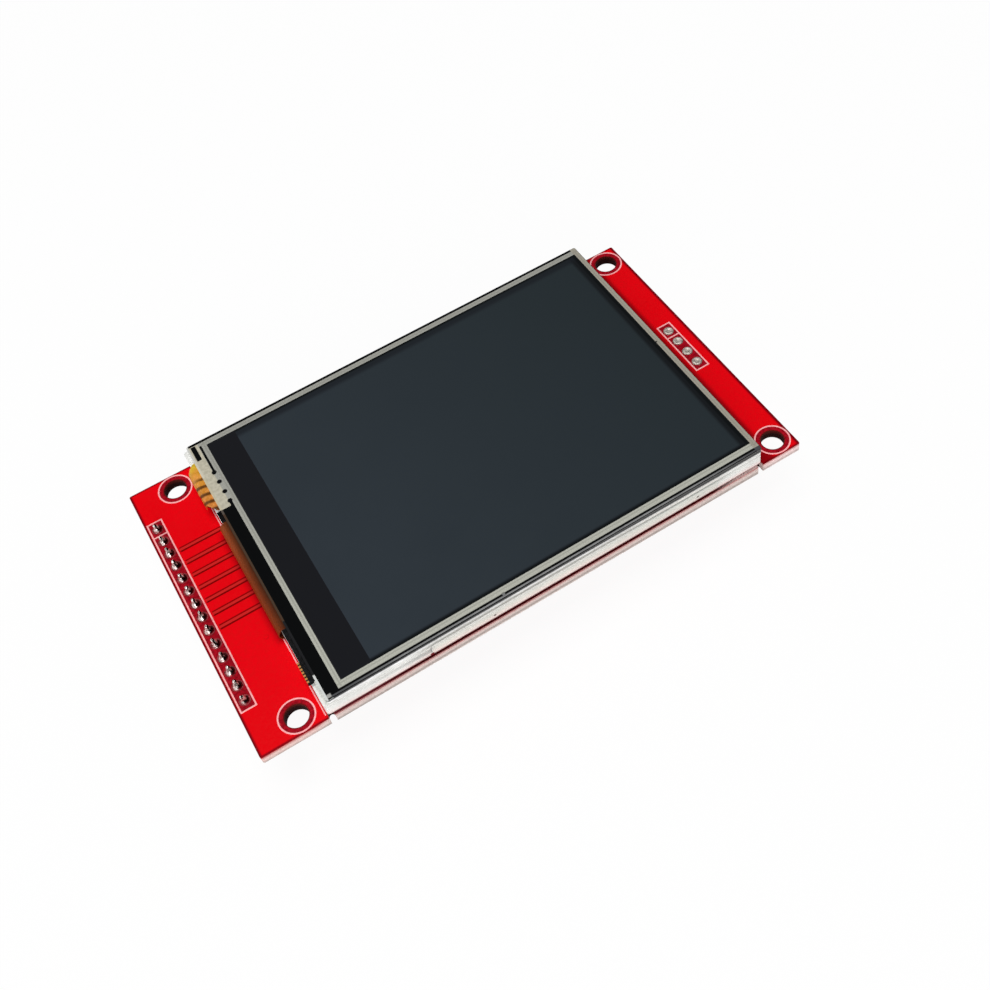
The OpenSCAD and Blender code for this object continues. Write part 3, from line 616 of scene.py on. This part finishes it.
# %% Silver paste
LINE_WIDTH = 0.87
silver = Finish("silver_print", roughness=0.35, specular=0.3)
grain = silver.noise(0.16, 3, low=0.3, high=0.7)
near_to_far = silver.step(silver.y, 0, 22)
paste = silver.mix(grain, silver.shades(near_to_far, (156, 157, 146), (134, 134, 126)),
                   silver.shades(near_to_far, (188, 189, 178), (168, 168, 161)))
right_paste = silver.shades(grain, (140, 138, 126), (168, 160, 146))
paste = silver.mix(silver.step(silver.x, RING_X1 - 0.9), paste, right_paste)
tail_paste = silver.shades(silver.noise(0.5, 3), (176, 170, 150), (196, 190, 170))
on_tail = silver.calc("MULTIPLY", silver.before(silver.x, RING_X0 - 0.4), 0.9)
paste = silver.mix(on_tail, paste, tail_paste)
seams = [silver.band(across, middle - 0.1, middle + 0.1, 0.08)
         for across, middle in ((silver.y, RING_Y0 + LINE_WIDTH / 2), (silver.y, RING_Y1 - LINE_WIDTH / 2),
                                (silver.x, RING_X0 + LINE_WIDTH / 2), (silver.x, RING_X1 - LINE_WIDTH / 2))]
on_ring = silver.patch(RING_X0, RING_X1, RING_Y0, RING_Y1, 0.01)
paste = silver.paint(paste, silver.both(silver.either(*seams), on_ring), (116, 116, 108), 0.35)
print("paste:", len(silver.tree.nodes), "nodes")

# %% [markdown]
# Dark print laps over the silver at the inner rim of the ring, in a bite of the right
# bar, in the gap at the flex, and in round spots at the joints of the tail.

# %% Dark print over the silver
LAP, SPOT_R = 0.11, 0.38
TAIL_SPOTS = 0.48, 2.45, 4.55, 6.6
tail_y = ends_mm("touch_flex")[0].y
inner_rim = silver.both(silver.before(silver.x, RING_X1 - LINE_WIDTH + LAP),
                        silver.step(silver.x, RING_X0 + LINE_WIDTH - LAP),
                        silver.band(silver.y, RING_Y0 + 0.8, RING_Y1 - LINE_WIDTH))
bite = silver.patch(RING_X1 - 0.9, RING_X1 - 0.56, 0.2, 0.48, 0.06)
gap = silver.patch(RING_X0 - 1.57, RING_X0 - 0.88, tail_y + 9.9, tail_y + 12.92, 0.04)
spots = [silver.before(silver.distance(silver.x, silver.y, (RING_X0 - 0.24, tail_y + along)), SPOT_R, 0.05)
         for along in TAIL_SPOTS]
paste = silver.paint(paste, silver.either(inner_rim, bite, gap, *spots), (18, 19, 21))
print("spots:", len(spots), "of radius", SPOT_R)

# %% [markdown]
# A finer line runs along the near edge, brighter in its middle part, and a short branch
# joins it to the ring.

# %% Fine line
line = silver.shades(silver.band(silver.x, -26, 28, 7), (66, 67, 70), (132, 133, 133))
line = silver.paint(line, silver.inverse(silver.noise(1.2, 3)), (60, 61, 63), 0.3)
branch_x = RING_X0 + 24.3
branch = silver.patch(branch_x, branch_x + 0.6, RING_Y0 - 0.64, RING_Y0 - 0.02)
paste = silver.paint(paste, branch, (60, 61, 60), 0.6)
line = silver.paint(line, branch, (60, 61, 60), 0.35)
silver.set("Base Color", silver.mix(silver.before(silver.y, RING_Y0 - 0.2), paste, line))
silver.relief(grain, 0.004)
coat_node("touch_silver_print", silver)
print("silver finish:", len(silver.tree.nodes), "nodes")

# %% [markdown]
# ### Edge of the glass
# The cut edge of the glass is frosted white, and just under the film it takes up the
# dark of the border, which reaches lower towards its right end. The spacer is a thin
# dark line all round.

# %% Glass edge and spacer
dark_from = ends_mm("touch_glass")[1].z - 0.22
edge_glass = Finish("touch_glass_edge", roughness=0.25, specular=0.3)
left_to_right = edge_glass.step(edge_glass.x, touch_low.x + 14, 1.5)
frosted = edge_glass.shades(left_to_right, (246, 246, 246), (205, 205, 202))
frosted = edge_glass.paint(frosted, edge_glass.noise(1.6, 3, (1, 1, 0.4)), (222, 222, 220))
dark_drop = edge_glass.calc("MULTIPLY_ADD", edge_glass.step(edge_glass.x, 12, 14), 0.31, -dark_from)
from_dark = edge_glass.calc("ADD", edge_glass.z, dark_drop)
edge_glass.set("Base Color", edge_glass.paint(frosted, edge_glass.step(from_dark, 0, 0.14), (26, 26, 27)))
coat_node("touch_glass", edge_glass)

spacer = Finish("spacer_line", roughness=0.3, specular=0.3)
spacer.set("Base Color", spacer.shades(spacer.noise(0.6, 2), (18, 18, 19), (28, 28, 30)))
coat_node("touch_spacer", spacer)
print("dark of the border from", round(dark_from, 2), "mm up")

# %% [markdown]
# ## Touch flex
# A flex is copper on amber polyimide. This one shows bare amber, darker at its near end,
# partly its own darker edge and partly painted shade, with dark conductors across it that
# stand out a little.

# %% Amber polyimide
LANE_PITCH = 1.55
amber = Finish("amber_flex", roughness=0.32, specular=0.12)
slant = amber.calc("MULTIPLY_ADD", amber.z, 0.45, amber.calc("MULTIPLY_ADD", amber.x, 0.35, amber.y))
lane = amber.calc("FRACT", amber.calc("DIVIDE", amber.calc("SUBTRACT", slant, 0.2), LANE_PITCH))
lane_share = amber.calc("MULTIPLY_ADD", amber.before(amber.y, 18.6, 0.8), 0.8, 0.1)
conductor = amber.both(amber.band(lane, 0.24, 0.62, 0.12), lane_share)
skin = amber.shades(amber.step(amber.y, 16.5, 5.0), (180, 102, 36), (208, 146, 40))
skin = amber.paint(skin, amber.noise(0.7, 3, low=0.4, high=0.7), (224, 150, 78), 0.7)
skin = amber.paint(skin, amber.step(amber.y, 20.6, 0.8), (204, 172, 50))
# darker near end: its own darker edge and painted shade
skin = amber.paint(skin, amber.before(amber.y, 12.0, 0.7), (110, 52, 20))
amber.set("Base Color", amber.paint(skin, conductor, (74, 40, 10)))
amber.relief(conductor, 0.03, amber.relief(amber.noise(0.9, 2), 0.05))
for node in ("touch_flex", "led_flex"):
    coat_node(node, amber)
print("amber finish:", len(amber.tree.nodes), "nodes")

# %% [markdown]
# ## Display flex
# This one has a brown cover layer, with fine lines in it where the conductors run, and
# a dark flat ear whose lug ends in a comb of gold fingers. The part of the bend that turns
# in under the panel has painted shade.

# %% Brown polyimide
LINE_PITCH = 0.22
FINGERS, FINGER_PITCH = 7, 0.535
brown = Finish("brown_flex", roughness=0.34, specular=0.06)
lines = brown.calc("SINE", brown.calc("MULTIPLY", brown.y, 2 * math.pi / LINE_PITCH))
cover = brown.shades(brown.step(brown.y, 3, 6), (134, 56, 24), (158, 74, 36))
# painted shade on the part of the bend that turns in under the panel
cover = brown.paint(cover, brown.step(brown.x, panel_low.x + 0.1, 1.0), (52, 28, 10))
cover = brown.paint(cover, brown.noise(1.6, 3, (0.15, 1, 0.15)), (104, 52, 22), 0.3)
cover = brown.paint(cover, brown.calc("MAXIMUM", lines, 0.0), (60, 30, 20), 0.18)
ear = brown.shades(brown.noise(0.4, 3), (6, 6, 7), (22, 22, 24))
flex_tone = brown.mix(brown.band(brown.y, BEND_NEAR - 0.05, BEND_FAR + 0.05, 0.02), ear, cover)
comb_y = bond_low.y + 0.3
finger = brown.calc("FRACT", brown.calc("DIVIDE", brown.calc("SUBTRACT", brown.y, comb_y), FINGER_PITCH))
lug = brown.patch(panel_low.x - 1, panel_low.x - 0.02, comb_y, comb_y + FINGERS * FINGER_PITCH, 0.04)
fingers = brown.both(lug, brown.band(finger, 0.2, 0.75, 0.16))
brown.set("Base Color", brown.paint(flex_tone, fingers, (190, 140, 80)))
brown.relief(lines, 0.006)
coat_node("lcd_flex", brown)
print("brown finish:", len(brown.tree.nodes), "nodes")

# %% [markdown]
# ## White frame
# The frame is glossy white plastic, and its near wall carries a strip of clear tape.
# Some marks run over both: the rounded outline of the tape, its pulled foot, which
# takes up the red of the board, and the two gates where the plastic was let in. So one
# function draws them on either finish.

# %% Marks on the near wall
tape_low, tape_high = ends_mm("side_tape")
TAPE_BEND, GATE_R = 0.85, 0.2
GATES = [(panel_low.x + along, panel_low.z + 0.75) for along in (25.3, 58.2)]


def tape_marks(finish, tone):
    """Fine outline round the near end of the tape, its pulled foot, and two gate marks."""
    bend_x, bend_z = tape_low.x + TAPE_BEND, panel_high.z - 1.05
    left_by = finish.calc("MAXIMUM", finish.calc("SUBTRACT", bend_x, finish.x), 0.0)
    up_by = finish.calc("MAXIMUM", finish.calc("SUBTRACT", finish.z, bend_z), 0.0)
    reach = finish.distance(left_by, up_by, (0, 0))
    outline = finish.both(finish.band(reach, TAPE_BEND - 0.08, TAPE_BEND + 0.08, 0.05),
                          finish.before(finish.x, bend_x + 1.5, 0.5))
    on_wall = finish.before(finish.y, panel_low.y + 0.1, 0.05)
    tone = finish.paint(tone, finish.both(outline, on_wall), (132, 134, 132), 0.7)
    pulled = finish.both(finish.band(finish.x, tape_low.x - 0.3, tape_low.x + 0.25, 0.1),
                         finish.before(finish.z, panel_low.z + 0.4, 0.1), on_wall)
    tone = finish.paint(tone, pulled, (112, 4, 18))
    for gate in GATES:
        spot = finish.before(finish.distance(finish.x, finish.z, gate), GATE_R, 0.06)
        tone = finish.paint(tone, finish.both(spot, on_wall), (72, 60, 58))
    return tone


print("tape:", round(tape_high.x - tape_low.x, 1), "mm long, gates:", len(GATES))

# %% [markdown]
# ### Moulding
# White plastic takes up whatever lies beside it. Every wall has painted pink bounce light
# at its foot, over the red board, and the near one ends there in a line of painted shade.
# Behind the tape it is greyer, with two soft lines of painted shade along it. The rim has a
# greyish lip at the near corner by the flex.

# %% White moulding
moulding = Finish("white_moulding", roughness=0.35, specular=0.2)
near_wall = moulding.before(moulding.y, panel_low.y + 0.1, 0.05)
behind_tape = moulding.both(moulding.band(moulding.x, touch_low.x + 14, 27, 2), near_wall)
white = moulding.shades(moulding.noise(4, 2), (218, 218, 214), (230, 230, 226))
white = moulding.paint(white, behind_tape, (212, 208, 200), 0.5)
# painted shade in a soft line below the rim, behind the tape
step_shade_z = moulding.calc("MULTIPLY_ADD", moulding.step(moulding.x, 16, 12), 0.5, moulding.z)
step_shade_line = moulding.band(step_shade_z, panel_high.z - 0.42, panel_high.z - 0.02, 0.22)
white = moulding.paint(white, moulding.both(step_shade_line, behind_tape), (148, 148, 142))
# painted pink bounce light from the red board at every wall's foot
white = moulding.paint(white, moulding.before(moulding.z, panel_low.z + 0.5, 0.7), (246, 206, 202), 0.6)
foot_shade = moulding.both(moulding.before(moulding.z, panel_low.z + 0.17, 0.14), near_wall)
white = moulding.paint(white, foot_shade, (92, 6, 10), 0.92)
# painted shade in a second soft line, towards the right
lower_shade_line = moulding.both(moulding.band(moulding.x, 15, 27, 10),
                           moulding.band(moulding.z, panel_high.z - 1.1, panel_high.z - 0.55, 0.2), near_wall)
white = moulding.paint(white, lower_shade_line, (170, 174, 167), 0.7)
white = tape_marks(moulding, white)
near_corner = moulding.both(moulding.band(moulding.x, panel_low.x + 0.35, panel_low.x + 2.0, 0.12),
                            moulding.before(moulding.y, bond_low.y - 0.2, 0.12))
lip = moulding.both(near_corner, moulding.step(moulding.z, panel_high.z - 0.1, 0.05))
lip_tone = moulding.shades(moulding.noise(0.3, 2), (186, 188, 182), (212, 213, 206))
moulding.set("Base Color", moulding.mix(lip, white, lip_tone))
moulding.relief(moulding.noise(0.6, 2), 0.006)
coat_node("backlight_frame", moulding)
print("moulding finish:", len(moulding.tree.nodes), "nodes")

# %% [markdown]
# ### Clear tape
# The tape looks like a slightly greyer patch of the wall, with a darker rim at its cut
# edge. It has painted pink bounce light from the board at its foot, as the wall does.

# %% Tape
tape = Finish("clear_tape", roughness=0.2, specular=0.5)
clear = tape.shades(tape.noise(1.5, 3), (208, 206, 197), (220, 218, 209))
# painted pink bounce light from the red board at the tape's foot
clear = tape.paint(clear, tape.before(tape.z, tape_low.z + 0.4, 0.6), (240, 210, 204), 0.7)
clear = tape.paint(clear, tape.step(tape.x, 14, 14), (196, 198, 190), 0.6)
inside_edge = tape.both(tape.band(tape.x, tape_low.x + 0.12, tape_high.x - 0.12, 0.05),
                        tape.band(tape.z, tape_low.z + 0.02, tape_high.z - 0.1, 0.04))
tape.set("Base Color", tape_marks(tape, tape.mix(inside_edge, srgb(196, 199, 195), clear)))
coat_node("side_tape", tape)
print("tape finish:", len(tape.tree.nodes), "nodes")

# %% [markdown]
# ## Card socket
# The shell is thin stainless sheet. Rolling leaves fine lines along its length, so the
# noise is stretched that way, in the colour and in the bump together.

# %% Rolled steel
steel = Finish("rolled_steel", roughness=0.3, metallic=1.0)
rolled = steel.noise(0.05, 3, (1, 0.03, 1), low=0.3, high=0.7)
steel.set("Base Color", steel.shades(rolled, (184, 184, 184), (204, 204, 203)))
steel.rough(steel.noise(5, 2), 0.24, 0.4)
steel.relief(rolled, 0.002)
coat_node("card_socket_shell", steel)
print("steel finish:", len(steel.tree.nodes), "nodes")

# %% [markdown]
# ## Bright solder
# Solder is almost a mirror that has wrinkled a little as it set. The side turned to the
# lamp is white, and the far side has a painted dark reflection of the panel beside it, so
# the finish darkens with the direction of the face. The skirt on the panel side has a
# painted red reflection of the board.

# %% Bright solder
LAND_TOP = ends_mm("header_hole_plating")[1].z
solder = Finish("bright_solder", roughness=0.2, metallic=1.0)
outward = solder.add("ShaderNodeTexCoord").outputs["Normal"]
face_x, face_y, _ = solder.add("ShaderNodeSeparateXYZ", (outward,)).outputs
ripple = solder.noise(0.3, 2)
toward_panel = solder.calc("MULTIPLY_ADD", face_x, 0.8, solder.calc("MULTIPLY", face_y, -0.25))
reflection_side = solder.calc("MULTIPLY_ADD", solder.calc("SUBTRACT", ripple, 0.5), 0.35, toward_panel)
metal = solder.shades(solder.noise(0.8, 2), (226, 214, 208), (246, 240, 236))
# painted dark reflection on the side facing the panel, broken by the ripple
metal = solder.paint(metal, solder.step(reflection_side, 0.08, 0.16), (22, 14, 17))
# painted red reflection of the board on the skirt
red_reflection_skirt = solder.both(solder.before(solder.z, LAND_TOP + 0.14, 0.14), solder.step(reflection_side, -0.1, 0.3))
solder.set("Base Color", solder.mix(red_reflection_skirt, metal, solder.shades(ripple, (70, 2, 10), (150, 20, 34))))
solder.rough(ripple, 0.14, 0.3)
solder.relief(ripple, 0.03)
print("solder finish:", len(solder.tree.nodes), "nodes")

# %% [markdown]
# ## Working on a shape
# New shapes are made the way a modeller works by hand: a primitive of the right size,
# then extruding, scaling, bevelling. A piece that is turned is a disc, raised ring by
# ring. Each finished piece sits at the origin with its place in the mesh, so copies need
# no fitting.

# %% Turn and set out
def only(piece):
    bpy.ops.object.select_all(action="DESELECT")
    piece.select_set(True)
    bpy.context.view_layer.objects.active = piece


def turned(name, profile, vertices):
    """A round piece from rings of [radius, height] in mm, extruded one after another."""
    bpy.ops.object.select_all(action="DESELECT")
    radius, height = profile[0]
    bpy.ops.mesh.primitive_circle_add(vertices=vertices, radius=radius * MM, fill_type="NGON",
                                      location=(0, 0, height * MM))
    piece = bpy.context.object
    piece.name = piece.data.name = name
    bpy.ops.object.transform_apply(location=True)
    bpy.ops.object.mode_set(mode="EDIT")
    bpy.ops.mesh.select_all(action="SELECT")
    for (r0, z0), (r1, z1) in zip(profile, profile[1:]):
        bpy.ops.mesh.extrude_region_move(TRANSFORM_OT_translate={"value": (0, 0, (z1 - z0) * MM)})
        bpy.ops.transform.resize(value=(r1 / r0, r1 / r0, 1), center_override=(0, 0, z1 * MM))
    bpy.ops.object.mode_set(mode="OBJECT")
    return piece


def set_out(pattern, name, places):
    """One object that holds a copy of the pattern's mesh at every place (a 4 x 4 matrix)."""
    copies = []
    for place in places:
        twin = pattern.copy()
        twin.data = pattern.data.copy()
        twin.data.transform(place)
        bpy.context.scene.collection.objects.link(twin)
        copies.append(twin)
    bpy.ops.object.select_all(action="DESELECT")
    for twin in copies:
        twin.select_set(True)
    bpy.context.view_layer.objects.active = copies[0]
    bpy.ops.object.join()
    bpy.data.objects.remove(pattern)
    copies[0].name = copies[0].data.name = name
    return copies[0]


# the joint's profile, from the foot inside the land to the tip over the pin
BULB = [(0.5, -0.04), (0.78, 0), (0.72, 0.12), (0.61, 0.3), (0.5, 0.5), (0.41, 0.68), (0.34, 0.86),
        (0.31, 1.05), (0.29, 1.22), (0.22, 1.34), (0.1, 1.42)]
bulb = turned("header_joint", BULB, vertices=20)
print("one joint:", len(bulb.data.polygons), "faces")

# %% [markdown]
# ### Joints of the long header
# Each joint is a small bulb that climbs the cut end of its pin, and no two lean alike. So
# the bulb is turned once, and every copy is sheared, squeezed and turned a little by a
# random draw, always the same one, before all of them are joined.

# %% Joints
MERGE_MM = 0.001


def hand_over(piece, finish, slot, *replaced):
    """Normals outward, smooth where it is round, coated, and riding on the body."""
    only(piece)
    bpy.ops.object.mode_set(mode="EDIT")
    bpy.ops.mesh.select_all(action="SELECT")
    bpy.ops.mesh.remove_doubles(threshold=MERGE_MM * MM)
    bpy.ops.mesh.normals_make_consistent(inside=False)
    bpy.ops.object.mode_set(mode="OBJECT")
    bpy.ops.object.transform_apply(location=True, rotation=True, scale=True)
    bpy.ops.object.shade_smooth_by_angle(angle=math.radians(35))
    piece.data.materials.clear()
    piece.data.materials.append(finish.material)
    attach(piece, "root")
    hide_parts(*replaced)
    print(piece.name, len(piece.data.polygons), "faces")


lean = random.Random(7)
places = []
for pin in pins:
    tilt = Matrix.Shear("XY", 4, (lean.uniform(-0.16, 0.04), lean.uniform(-0.04, 0.14)))
    girth = Matrix.Diagonal((lean.uniform(0.82, 0.94), lean.uniform(0.86, 1.0), lean.uniform(0.85, 1.04), 1))
    over_pin = Matrix.Translation((pin.x * MM, pin.y * MM, LAND_TOP * MM))
    places.append(over_pin @ tilt @ girth @ Matrix.Rotation(lean.uniform(0, 6.28), 4, "Z"))
hand_over(set_out(bulb, "header_joints", places), solder, "solder", "solder_joints")

# %% [markdown]
# ## Dull solder in the short header
# These holes were filled and never took a pin. The solder has sunk in the middle and
# its skin is duller, with a raised rim over the land.

# %% Filled holes of the short header
dull = Finish("dull_solder", roughness=0.55, metallic=1.0)
skin_spots = dull.noise(0.35, 3)
dull.set("Base Color", dull.shades(skin_spots, (186, 176, 166), (212, 204, 196)))
dull.rough(skin_spots, 0.5, 0.65)
dull.relief(skin_spots, 0.03)
barrel = board_top - card_low.z
# a plug up to the top of the board, then the rim over the land and the sunk middle
PLUG = [(0.4, 0), (0.49, 0.01), (0.49, barrel)]
RIM = [(0.76, 0.06), (0.74, 0.14), (0.66, 0.2), (0.52, 0.22), (0.38, 0.17), (0.2, 0.1)]
dish = turned("filled_hole", PLUG + [(r, barrel + z) for r, z in RIM], vertices=24)
along = [(i - (CARD_HOLES - 1) / 2) * PITCH for i in range(CARD_HOLES)]
places = [Matrix.Translation(Vector((card_mid.x, card_mid.y + y, card_low.z)) * MM) for y in along]
hand_over(set_out(dish, "filled_holes", places), dull, "solder", "card_hole_solder")

# %% [markdown]
# ## Soft rim of the frame
# A moulded edge is never sharp. A copy of the frame gets a small round along its upper
# rim, which is what catches the light as a thin bright line. Edges are picked by where
# they lie, so that the copy needs no edge numbers.

# %% Round the rim
RIM_ROUND = 0.09


def copy_solid(node, name):
    """A free copy of a solid, its triangles merged back into whole faces."""
    piece = nodes[node].copy()
    piece.data = nodes[node].data.copy()
    piece.name = piece.data.name = name
    bpy.context.scene.collection.objects.link(piece)
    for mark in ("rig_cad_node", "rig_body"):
        if mark in piece:
            del piece[mark]
    piece.parent = None
    only(piece)
    bpy.ops.object.mode_set(mode="EDIT")
    bpy.ops.mesh.select_all(action="SELECT")
    bpy.ops.mesh.remove_doubles(threshold=MERGE_MM * MM)
    bpy.ops.mesh.dissolve_limited(angle_limit=math.radians(1))
    bpy.ops.object.mode_set(mode="OBJECT")
    return piece


def pick_edges_above(piece, height):
    """In edit mode, with the edges selected whose middle lies above a height in mm."""
    only(piece)
    bpy.ops.object.mode_set(mode="EDIT")
    bpy.ops.mesh.select_mode(type="EDGE")
    bpy.ops.mesh.select_all(action="DESELECT")
    bpy.ops.object.mode_set(mode="OBJECT")
    points = piece.data.vertices
    for edge in piece.data.edges:
        start, end = (points[v].co.z / MM for v in edge.vertices)
        edge.select = (start + end) / 2 > height
    bpy.ops.object.mode_set(mode="EDIT")


soft_frame = copy_solid("backlight_frame", "soft_frame")
pick_edges_above(soft_frame, panel_high.z - 0.01)
bpy.ops.mesh.bevel(offset=RIM_ROUND * MM, segments=2, affect="EDGES", clamp_overlap=True)
bpy.ops.object.mode_set(mode="OBJECT")
hand_over(soft_frame, moulding, "white_moulding", "backlight_frame")

# %% [markdown]
# ## Studio
# A pale floor just below the pins, a wide soft lamp overhead, one from the front left
# and a pale world. The floor glows to the eye, to mirrors and through glass, so that it
# is white, and still takes a little shadow.

# %% Floor
FLOOR_SIZE, FLOOR_GAP, GLOW_SHARE = 8, 0.00005, 0.93
bpy.ops.object.select_all(action="DESELECT")
bpy.ops.mesh.primitive_plane_add(size=FLOOR_SIZE, location=(0, 0, solid_low.z - FLOOR_GAP))
floor = bpy.context.object
floor.name = "floor"
floor_material = bpy.data.materials.new("pale_floor")
floor_material.use_nodes = True
tree = floor_material.node_tree
tree.nodes.clear()
rays = add_node(tree, "ShaderNodeLightPath").outputs
glowing = rays["Is Camera Ray"]
for ray in ("Is Glossy Ray", "Is Transmission Ray"):
    glowing = add_node(tree, "ShaderNodeMath", (glowing, rays[ray]), operation="MAXIMUM").outputs[0]
share = add_node(tree, "ShaderNodeMath", (glowing, GLOW_SHARE), operation="MULTIPLY").outputs[0]
matte = add_node(tree, "ShaderNodeBsdfDiffuse", {"Color": (0.9, 0.9, 0.9, 1)}).outputs[0]
glow = add_node(tree, "ShaderNodeEmission").outputs[0]
blend = add_node(tree, "ShaderNodeMixShader", (share, matte, glow)).outputs[0]
add_node(tree, "ShaderNodeOutputMaterial", (blend,))
floor.data.materials.append(floor_material)
print("floor:", FLOOR_SIZE, "m wide")

# %% [markdown]
# The world is bright at the horizon and dim overhead, so that the flat glass mirrors
# little and the upright walls stay light.

# %% World and lamps
bpy.context.scene.view_settings.view_transform = "Standard"
world = bpy.data.worlds.new("studio")
bpy.context.scene.world = world
world.use_nodes = True
sky = world.node_tree
way = add_node(sky, "ShaderNodeTexCoord").outputs["Generated"]
height = add_node(sky, "ShaderNodeSeparateXYZ", (way,)).outputs["Z"]
dim_up = {"Value": height, "From Max": 0.6, "To Min": 0.8, "To Max": 0.14}
dimming = add_node(sky, "ShaderNodeMapRange", dim_up)
background = sky.nodes["Background"]
background.inputs["Color"].default_value = (1, 1, 1, 1)
sky.links.new(dimming.outputs[0], background.inputs["Strength"])


def soft_lamp(name, at, size, power):
    lamp_data = bpy.data.lights.new(name, "AREA")
    lamp_data.size = size
    lamp_data.energy = power
    lamp = bpy.data.objects.new(name, lamp_data)
    bpy.context.scene.collection.objects.link(lamp)
    lamp.location = at
    lamp.rotation_mode = "QUATERNION"
    lamp.rotation_quaternion = (-Vector(at)).to_track_quat("-Z", "Y")
    print("lamp", name, round(Vector(at).length, 2), "m away")


soft_lamp("overhead", (-0.1, 0.0, 0.8), 0.5, 4.6)
soft_lamp("front_left", (-0.35, -0.7, 0.35), 0.5, 3.6)
